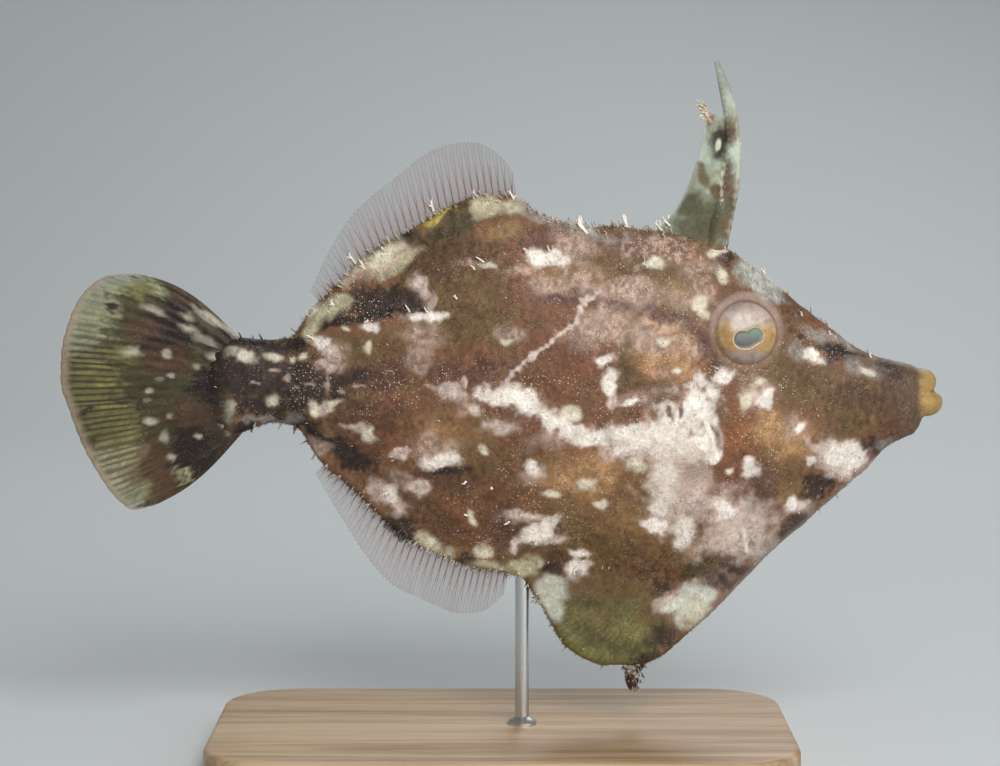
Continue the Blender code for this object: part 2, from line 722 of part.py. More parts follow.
def base_plate(finish):
    """The flat base, with rounded corners, a chamfered top edge and a blind hole for the rod."""
    length, depth, height = BASE_SIZE
    turns = ((1, 1), (-1, 1), (-1, -1), (1, -1))
    steps = 6
    rings = []
    for z, inset in ((0.0, 0.0), (height - BASE_CHAMFER, 0.0), (height, BASE_CHAMFER)):
        ring = []
        for k, (east, north) in enumerate(turns):
            middle_x, middle_y = east * (length / 2 - BASE_CORNER), north * (depth / 2 - BASE_CORNER)
            for s in range(steps + 1):
                angle = math.pi / 2 * (k + s / steps)
                reach = BASE_CORNER - inset
                x, y = middle_x + reach * math.cos(angle), middle_y + reach * math.sin(angle)
                ring.append(Vector((x, y, z)) * MM)
        rings.append(ring)
    plate = rings_object("stand_base", rings, finish)
    floor = height - SOCKET_DEPTH - SEAM
    hole = upright_cylinder("hole", ROD_RADIUS + SEAM, floor, height + CUTTER_REACH)
    joined(plate, [], [hole])
    return plate


def upright_cylinder(name, radius, low, high, finish=None):
    """An upright cylinder at the rod's place, between two heights above the floor."""
    sides = 20
    outline = []
    for k in range(sides):
        angle = 2 * math.pi * k / sides
        outline.append((ROD_PLACE + radius * math.cos(angle), radius * math.sin(angle)))
    rings = [[Vector((x, y, z)) * MM for x, y in outline] for z in (low, high)]
    return rings_object(name, rings, finish)


def tilted(centre, radii, degrees, side=0):
    """An ellipsoid turned about the across axis, on the middle plane or on one flank."""
    x, z = centre
    y = side * half_width(x, z) if side else 0.0
    return ellipsoid("cut", (x, y, z), radii, Quaternion((0, 1, 0), math.radians(degrees)), 14, 8)


def finish_head(head, trunk, draw):
    """Adds lids, lips and cirri to the head, and cuts sockets, mouth, nostrils and gill slits."""
    additions = [lid(side) for side in (-1, 1)]
    for (x, z), radii in (UPPER_LIP, LOWER_LIP):
        additions.append(ellipsoid("lip", (x, 0, z), radii))
    additions += fringe(draw, BROW_FRINGE, back, 1) + fringe(draw, THROAT_FRINGE, belly, -1)
    cuts = [tilted(*MOUTH)]
    for side in (-1, 1):
        centre, turn = eye_frame(side)
        socket = (EYE_RADIUS + SEAM, EYE_RADIUS + SEAM, EYE_DEPTH + SEAM)
        cuts.append(ellipsoid("socket", centre, socket, turn))
        for x, z, radius in NOSTRILS:
            cuts.append(ellipsoid("nostril", flank_point(x, z, side), (radius,) * 3, segments=8, rings=6))
        cuts.append(tilted(*GILL_SLIT, side))
    joined(head, additions, cuts)
    joined(trunk, [], [tilted(*GILL_SLIT, side) for side in (-1, 1)])


def main():
    """Builds every node of the fish and its stand."""
    for old in list(bpy.data.objects):
        bpy.data.objects.remove(old)
    draw = random.Random(7)
    skin = material("skin", (0.24, 0.13, 0.07), 0.6)
    clear_fin = material("fin_membrane", (0.55, 0.5, 0.4), 0.45)
    dark_fin = material("tail_fin", (0.16, 0.14, 0.06), 0.5)
    spine = material("spine", (0.4, 0.38, 0.24), 0.45)
    eye = material("eye", (0.45, 0.33, 0.2), 0.15)
    wood = material("stand_wood", (0.55, 0.44, 0.31), 0.5)
    steel = material("stand_steel", (0.6, 0.6, 0.6), 0.3, 1.0)

    nodes = parted_body(skin)
    finish_head(nodes["head"], nodes["trunk"], draw)
    for name, side in (("eye_right", -1), ("eye_left", 1)):
        centre, turn = eye_frame(side)
        ellipsoid(name, centre, (EYE_RADIUS, EYE_RADIUS, EYE_DEPTH), turn, finish=eye)
    rod_top = AXIS_HEIGHT + ROD_TOP
    bore = (ROD_RADIUS + SEAM, BASE_SIZE[2] + CUTTER_REACH, rod_top + SEAM)
    tags = fringe(draw, BACK_FRINGE, back, 1) + fringe(draw, BELLY_FRINGE, belly, -1) + flank_cirri(draw)
    joined(nodes["trunk"], tags, [upright_cylinder("bore", *bore)])
    joined(nodes["dewlap"], [], [upright_cylinder("bore", *bore)])
    dorsal_spine(spine)
    spine_membrane(clear_fin)
    soft_fin("dorsal_fin", back, DORSAL_ROOT, DORSAL_HEIGHT, DORSAL_LEAN, 1, clear_fin)
    soft_fin("anal_fin", belly, ANAL_ROOT, ANAL_HEIGHT, ANAL_LEAN, -1, clear_fin)
    tail_fin(dark_fin)
    pectoral_fin("pectoral_fin_right", -1, clear_fin)
    pectoral_fin("pectoral_fin_left", 1, clear_fin)
    pelvic_tuft(draw, spine)
    base_plate(wood)
    upright_cylinder("stand_rod", ROD_RADIUS, BASE_SIZE[2] - SOCKET_DEPTH, rod_top, steel)
    for node in bpy.data.objects:
        node.data.shade_smooth()
        node.data.set_sharp_from_angle(angle=math.radians(SHARP_ANGLE))


main()
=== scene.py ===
"""Looks of the fringed filefish model: skin, fringe, fins, spine, eyes, stand and studio.

Design lists are in millimetres from the fish's long axis, as (along, up). Markings are placed by
the photo's pixels, in its 1000 by 766 frame. Meshes are in metres, in the frame of the solids.
"""

from __future__ import annotations

import itertools
import json
import logging
import math
from dataclasses import dataclass, field
from enum import Enum
from typing import Sequence

import bmesh
import bpy
import numpy as np
from bpy.types import Material, Mesh, Node, NodeSocket, NodeTree, Object
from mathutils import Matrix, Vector

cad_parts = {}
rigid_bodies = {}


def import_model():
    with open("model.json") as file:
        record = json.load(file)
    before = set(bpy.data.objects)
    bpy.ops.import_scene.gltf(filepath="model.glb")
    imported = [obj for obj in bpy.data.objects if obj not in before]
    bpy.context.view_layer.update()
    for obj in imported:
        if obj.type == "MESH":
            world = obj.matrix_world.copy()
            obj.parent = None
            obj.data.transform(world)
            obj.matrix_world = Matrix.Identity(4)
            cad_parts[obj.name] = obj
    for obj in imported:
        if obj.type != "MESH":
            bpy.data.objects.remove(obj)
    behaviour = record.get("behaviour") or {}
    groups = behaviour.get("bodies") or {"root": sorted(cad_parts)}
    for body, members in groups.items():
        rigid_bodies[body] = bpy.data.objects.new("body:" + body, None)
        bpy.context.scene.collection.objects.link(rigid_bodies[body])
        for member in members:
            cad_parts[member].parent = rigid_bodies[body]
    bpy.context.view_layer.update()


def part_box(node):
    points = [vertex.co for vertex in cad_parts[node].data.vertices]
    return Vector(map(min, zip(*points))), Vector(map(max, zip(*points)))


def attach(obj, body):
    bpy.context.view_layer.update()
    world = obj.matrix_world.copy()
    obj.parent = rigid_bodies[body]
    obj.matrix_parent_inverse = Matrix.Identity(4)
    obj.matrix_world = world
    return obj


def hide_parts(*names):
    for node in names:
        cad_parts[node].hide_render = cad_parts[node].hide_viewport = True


LOG = logging.getLogger("filefish")

Array = np.ndarray
Draw = np.random.Generator
Pair = tuple[float, float]
Path = Sequence[Pair]

MM = 0.001
AXIS_HEIGHT = 42.0
EYE: Pair = (27.3, 7.35)
PIXEL_MM = 0.1136
PHOTO_AXIS = (502.0, 394.0)
PHOTO_MIDDLE = (500.0, 383.0)
PHOTO_WIDTH = 1000
LENS = 100.0
SENSOR = 36.0
CAMERA_REACH = PHOTO_WIDTH * PIXEL_MM * LENS / SENSOR
CAMERA_LIFT = math.radians(5.0)
MARKING = "marking"
BAKE_MAP = "OFBake"
TUFT_PATCH = 0.0015


class Side(Enum):
    """A flank of the fish, by the sign of its across direction."""

    RIGHT = -1
    LEFT = 1


class Tint(Enum):
    """The colours of the fish, as red, green and blue from 0 to 255."""

    BROWN = (114, 82, 58)
    BARK = (104, 80, 52)
    ORANGE = (186, 142, 100)
    ROSE = (190, 160, 144)
    UMBER = (86, 60, 44)
    DARK = (54, 41, 36)
    BLACK = (38, 29, 27)
    MAROON = (92, 62, 54)
    WINE = (54, 43, 40)
    RED = (114, 74, 54)
    RUST = (134, 86, 52)
    GOLD = (148, 114, 76)
    OLIVE = (100, 78, 50)
    SPINE_OLIVE = (70, 66, 42)
    DEEP_OLIVE = (66, 60, 38)
    MOSS = (94, 90, 54)
    LIME = (140, 138, 82)
    LEAF = (112, 110, 64)
    PALE_LEAF = (146, 148, 114)
    YELLOW = (178, 164, 84)
    STRAW = (188, 180, 150)
    CREAM = (220, 212, 190)
    WHITE = (240, 230, 220)
    PINK = (208, 188, 178)
    SHELL = (176, 150, 136)
    GREY = (146, 138, 130)
    ICE = (170, 172, 164)
    LIP = (164, 134, 80)
    MINT = (204, 206, 192)

    @property
    def colour(self) -> Array:
        """The colour in linear light, from 0 to 1."""
        return linear(self.value)


def linear(colour: Sequence[float]) -> Array:
    """Turns red, green and blue from 0 to 255 into linear light from 0 to 1."""
    share = np.asarray(colour, float) / 255.0
    return np.where(share <= 0.04045, share / 12.92, ((share + 0.055) / 1.055) ** 2.4)


def smooth_step(low: float, high: float, value: Array) -> Array:
    """A smooth rise from 0 at the low value to 1 at the high one."""
    share = np.clip((value - low) / (high - low), 0.0, 1.0)
    return share * share * (3.0 - 2.0 * share)


def hill(value: Array, width: float) -> Array:
    """1 at 0, falling smoothly to nothing over about twice the width."""
    return np.exp(-((value / width) ** 2))


def mix(under: Array, over: Array, mask: Array) -> Array:
    """Blends colours row by row, with the mask as the share of the second."""
    return under + (over - under) * np.asarray(mask)[:, None]


def laid(colour: Array, *coats: tuple[Sequence[float], Array]) -> Array:
    """Lays tones over colours in turn, each given from 0 to 255 and with its mask."""
    for tone, mask in coats:
        colour = mix(colour, linear(tone), mask)
    return colour


def units(rows: Array) -> Array:
    """Scales each row to a length of 1."""
    return rows / np.maximum(np.linalg.norm(rows, axis=1, keepdims=True), 1e-9)


def filled(colour: Array, count: int) -> Array:
    """One colour repeated in rows."""
    return np.repeat(np.asarray(colour)[None, :], count, axis=0)


class Curve:
    """A smooth height over a rising place, which never overshoots its points."""

    def __init__(self, points: Path) -> None:
        """Takes the points, whose first value rises."""
        self.place = np.array([p[0] for p in points], float)
        self.height = np.array([p[1] for p in points], float)
        slope = np.diff(self.height) / np.diff(self.place)
        inner = np.where(slope[:-1] * slope[1:] > 0, 2 * slope[:-1] * slope[1:], 0.0)
        total = slope[:-1] + slope[1:]
        inner = inner / np.where(np.abs(total) < 1e-12, 1.0, total)
        self.slope = np.concatenate([[slope[0]], inner, [slope[-1]]])

    def at(self, place: Array | float) -> Array:
        """The height at each place."""
        x = np.clip(np.asarray(place, float), self.place[0], self.place[-1])
        i = np.clip(np.searchsorted(self.place, x, side="right") - 1, 0, len(self.place) - 2)
        step = self.place[i + 1] - self.place[i]
        t = (x - self.place[i]) / step
        rise = self.slope[i] * t * (1 - t) ** 2 - self.slope[i + 1] * t * t * (1 - t)
        level = self.height[i] * (1 + 2 * t) * (1 - t) ** 2 + self.height[i + 1] * t * t * (3 - 2 * t)
        return level + step * rise


class Route:
    """A smooth path through points, from 0 at its start to 1 at its end."""

    def __init__(self, points: Path) -> None:
        """Takes the points in order."""
        line = np.array(points, float)
        run = np.concatenate([[0.0], np.cumsum(np.linalg.norm(np.diff(line, axis=0), axis=1))])
        self.parts = [Curve(list(zip(run / run[-1], line[:, k]))) for k in range(2)]

    def at(self, share: Array | float) -> Array:
        """Points of the path, one a row, at places from 0 to 1."""
        return np.stack([part.at(share) for part in self.parts], axis=-1)


@dataclass(frozen=True)
class Grain:
    """Smooth random values over space, the same on each run."""

    seed: int

    def at(self, points: Array, size: float) -> Array:
        """Values from -1 to 1 that change over about the given size.

        Args:
            points: places, one a row.
            size: the distance over which the values change.

        Returns:
            One value a row.
        """
        scaled = points / size + self.seed * 7.317
        cell = np.floor(scaled).astype(np.int64)
        part = scaled - cell
        ease = part * part * (3 - 2 * part)
        total = np.zeros(len(points))
        for corner in itertools.product((0, 1), repeat=3):
            weight = np.prod(np.where(np.array(corner) == 1, ease, 1 - ease), axis=1)
            total += weight * self.hashed(cell + np.array(corner))
        return total * 2 - 1

    def hashed(self, cell: Array) -> Array:
        """A random value from 0 to 1 for each cell."""
        mixed = cell[:, 0] * 73856093 ^ cell[:, 1] * 19349663 ^ cell[:, 2] * 83492791 ^ self.seed * 2654435761
        mixed = (mixed ^ (mixed >> 13)) * 1274126177 & 0xFFFFFFFF
        mixed = (mixed ^ (mixed >> 16)) * 2246822519 & 0xFFFFFFFF
        return (mixed ^ (mixed >> 15)) / 0xFFFFFFFF

    def layered(self, points: Array, size: float, layers: int = 3) -> Array:
        """Values about from -1 to 1, with finer and finer detail.

        Args:
            points: places, one a row.
            size: the size of the broadest layer.
            layers: how many layers, each half the size of the last.

        Returns:
            One value a row.
        """
        total = np.zeros(len(points))
        for k in range(layers):
            total += Grain(self.seed + k).at(points, size / 2**k) * 0.5**k
        return total / (2 - 0.5 ** (layers - 1)) * 1.6


@dataclass(frozen=True)
class FishShape:
    """The outline and the sections of the body, as the solids have them."""

    axis_height: float
    back: Curve = field(default_factory=lambda: Curve([
        (-30.3, 6.5), (-27.0, 6.2), (-24.0, 6.4), (-21.8, 9.3), (-19.2, 11.6), (-14.8, 15.9),
        (-10.6, 18.3), (-5.5, 21.3), (-1.7, 22.4), (1.4, 22.3), (4.2, 20.4), (8.4, 19.3), (15.7, 18.8),
        (21.0, 17.9), (24.9, 16.7), (29.4, 13.7), (32.5, 11.2), (37.5, 7.3), (40.4, 5.2), (43.5, 4.0),
        (46.0, 3.5), (48.0, 2.8),
    ]))
    belly: Curve = field(default_factory=lambda: Curve([
        (-30.3, -4.8), (-27.9, -3.7), (-25.6, -3.3), (-23.4, -3.8), (-21.0, -7.2), (-17.5, -10.2),
        (-13.2, -14.3), (-10.5, -16.6), (-6.9, -18.2), (-3.5, -19.6), (1.1, -20.6), (2.4, -21.3),
        (3.8, -23.2), (5.4, -25.9), (6.9, -28.4), (9.3, -30.4), (12.0, -31.2), (15.2, -31.2),
        (17.9, -30.4), (20.7, -28.0), (24.3, -24.7), (28.2, -20.7), (31.6, -17.3), (36.4, -13.1),
        (38.8, -10.9), (41.4, -8.6), (43.3, -6.4), (45.6, -5.1), (48.0, -4.0),
    ]))
    keel: Curve = field(default_factory=lambda: Curve([
        (2.4, -21.3), (8.0, -22.4), (15.0, -23.2), (22.0, -23.0), (28.2, -20.7),
    ]))
    middle: Curve = field(default_factory=lambda: Curve([
        (-30.3, 0.8), (-15.0, 0.5), (0.0, -0.5), (15.0, -1.5), (27.0, -1.0), (48.0, -0.8),
    ]))
    width: Curve = field(default_factory=lambda: Curve([
        (-30.3, 1.7), (-23.0, 2.3), (-15.0, 3.4), (-5.0, 4.8), (8.0, 5.9), (20.0, 6.2), (28.0, 5.7),
        (36.0, 4.3), (43.0, 3.2), (46.5, 2.7), (48.0, 2.2),
    ]))
    back_closing: Curve = field(default_factory=lambda: Curve([
        (-30.3, 0.55), (-22.0, 0.7), (20.0, 0.75), (32.0, 0.65), (44.0, 0.5), (48.0, 0.5),
    ]))
    belly_closing: Curve = field(default_factory=lambda: Curve([
        (-30.3, 0.6), (-22.0, 0.8), (5.0, 1.0), (28.0, 1.0), (40.0, 0.7), (48.0, 0.5),
    ]))
    back_power: float = 2.2
    belly_power: float = 1.7
    flap_half: float = 1.0
    flap_round: float = 0.9
    ends: Pair = (-30.3, 48.0)

    def half_width(self, x: Array, z: Array) -> Array:
        """The body's half width at places along it and heights above its axis."""
        x, z = np.asarray(x, float), np.asarray(z, float)
        top, bottom, centre = self.back.at(x), self.belly.at(x), self.middle.at(x)
        over = np.clip((z - centre) / (top - centre), 0, 1)
        upper = self.width.at(x) * (1 - over**self.back_power) ** self.back_closing.at(x)
        inside = (x > self.keel.place[0]) & (x < self.keel.place[-1])
        low = np.where(inside, self.keel.at(x), bottom)
        under = np.clip((centre - z) / (centre - low), 0, 1)
        lower = self.width.at(x) * (1 - under**self.belly_power) ** self.belly_closing.at(x)
        core = np.where(z >= centre, upper, lower)
        edge = np.clip(np.minimum(z - bottom, top - z) / self.flap_round, 0, 1)
        flap = self.flap_half * np.sqrt(1 - (1 - edge) ** 2)
        return (core**3 + flap**3) ** (1 / 3)

    def placed(self, points: Array) -> Array:
        """Turns millimetres from the fish's axis into metres in the frame."""
        return (np.asarray(points, float) + np.array([0.0, 0.0, self.axis_height])) * MM

    def local(self, points: Array) -> Array:
        """Turns metres in the frame into millimetres from the fish's axis."""
        return np.asarray(points, float) / MM - np.array([0.0, 0.0, self.axis_height])

    def flank(self, place: Pair, side: Side) -> tuple[Array, Array]:
        """A point of the flank and the unit direction out of it.

        Args:
            place: along and up.
            side: which flank.

        Returns:
            The point and the direction, in millimetres.
        """
        x, z = place
        step = 0.4
        along = (self.half_width(x + step, z) - self.half_width(x - step, z)) / (2 * step)
        up = (self.half_width(x, z + step) - self.half_width(x, z - step)) / (2 * step)
        out = np.array([-float(along), side.value, -float(up)])
        return np.array([x, side.value * float(self.half_width(x, z)), z]), out / np.linalg.norm(out)

    def seen_at(self, pixel: Pair) -> Pair:
        """The place on the flank that the photo shows at a pixel, as along and up."""
        x, z = (pixel[0] - PHOTO_AXIS[0]) * PIXEL_MM, (PHOTO_AXIS[1] - pixel[1]) * PIXEL_MM
        for _ in range(4):
            shown = photo_place(np.array([[x, float(self.half_width(x, z)), z]]))[0]
            x += (pixel[0] - shown[0]) * PIXEL_MM
            z += (shown[1] - pixel[1]) * PIXEL_MM
        return x, z


def photo_place(points: Array) -> Array:
    """Where the photo, taken near and a little from above, shows points of a flank.

    Args:
        points: places in millimetres from the fish's axis, one a row.

    Returns:
        The pixel across and down of each, the same for both flanks.
    """
    near = np.abs(points[:, 1])
    height = points[:, 2] - (PHOTO_AXIS[1] - PHOTO_MIDDLE[1]) * PIXEL_MM
    along = points[:, 0] - (PHOTO_MIDDLE[0] - PHOTO_AXIS[0]) * PIXEL_MM
    up = height * math.cos(CAMERA_LIFT) - near * math.sin(CAMERA_LIFT)
    ahead = near * math.cos(CAMERA_LIFT) + height * math.sin(CAMERA_LIFT)
    size = CAMERA_REACH / (CAMERA_REACH - ahead) / PIXEL_MM
    return np.stack([PHOTO_MIDDLE[0] + along * size, PHOTO_MIDDLE[1] - up * size], axis=1)


@dataclass
class Ground:
    """The points that markings are laid on: their photo pixels and the unevenness of edges."""

    place: Array
    wander: Array
    fibre: Array


@dataclass(frozen=True)
class Layer:
    """Markings of one tint, each laid with the same edge.

    Soft is the width of the edge as a share of the reach, ragged is how far it wanders, and
    speckle is how much the marking breaks up into fine dots. A halo is a paler ground round it.
    """

    tint: Tint
    strength: float = 0.9
    soft: float = 0.3
    ragged: float = 0.5
    speckle: float = 0.0
    halo: float = field(default=0.0, kw_only=True)

    def reached(self, place: Array) -> Array:
        """How far each pixel is out of the markings, as a share of their reach."""
        raise NotImplementedError

    def masks(self, ground: Ground) -> tuple[Array, Array]:
        """How much of the tint and of its halo shows at each point, from 0 to 1."""
        reached = self.reached(ground.place) + self.ragged * ground.wander
        shown = self.strength * (1 - smooth_step(1 - self.soft, 1 + self.soft, reached))
        dots = smooth_step(-0.15, 0.45, ground.fibre)
        round_it = self.halo * (1 - smooth_step(0.8, 1.7, reached)) * (0.4 + 0.6 * dots)
        return shown * (1 - self.speckle * (1 - dots)), round_it


@dataclass(frozen=True)
class Ovals(Layer):
    """Ovals, each given by pixels across and down, its two reaches and any tilt in degrees."""

    ovals: tuple[tuple[float, ...], ...] = ()

    def reached(self, place: Array) -> Array:
        """How far each pixel is out of the nearest oval, as a share of its reach."""
        least = np.full(len(place), 1e3)
        for across, down, wide, high, *tilt in self.ovals:
            turn = math.radians(sum(tilt))
            east, south = place[:, 0] - across, place[:, 1] - down
            u = east * math.cos(turn) - south * math.sin(turn)
            v = east * math.sin(turn) + south * math.cos(turn)
            least = np.minimum(least, np.hypot(u / wide, v / high))
        return least


@dataclass(frozen=True)
class Lines(Layer):
    """Lines of pixels, with a half width, and beads at a spacing where one is given."""

    lines: tuple[Path, ...] = ()
    half: float = 4.0
    beads: float = 0.0

    def reached(self, place: Array) -> Array:
        """How far each pixel is off the nearest line, as a share of its half width."""
        least = np.full(len(place), 1e3)
        for line in self.lines:
            run = 0.0
            for start, end in zip(line, line[1:]):
                a, b = np.array(start, float), np.array(end, float)
                length = float(np.linalg.norm(b - a))
                share = np.clip((place - a) @ (b - a) / length**2, 0, 1)
                gap = np.linalg.norm(place - (a + share[:, None] * (b - a)), axis=1) / self.half
                if self.beads:
                    bead = np.cos(2 * np.pi * (run + share * length) / self.beads)
                    gap = gap + 0.45 * (1 - bead) - 0.2
                least = np.minimum(least, gap)
                run += length
        return least


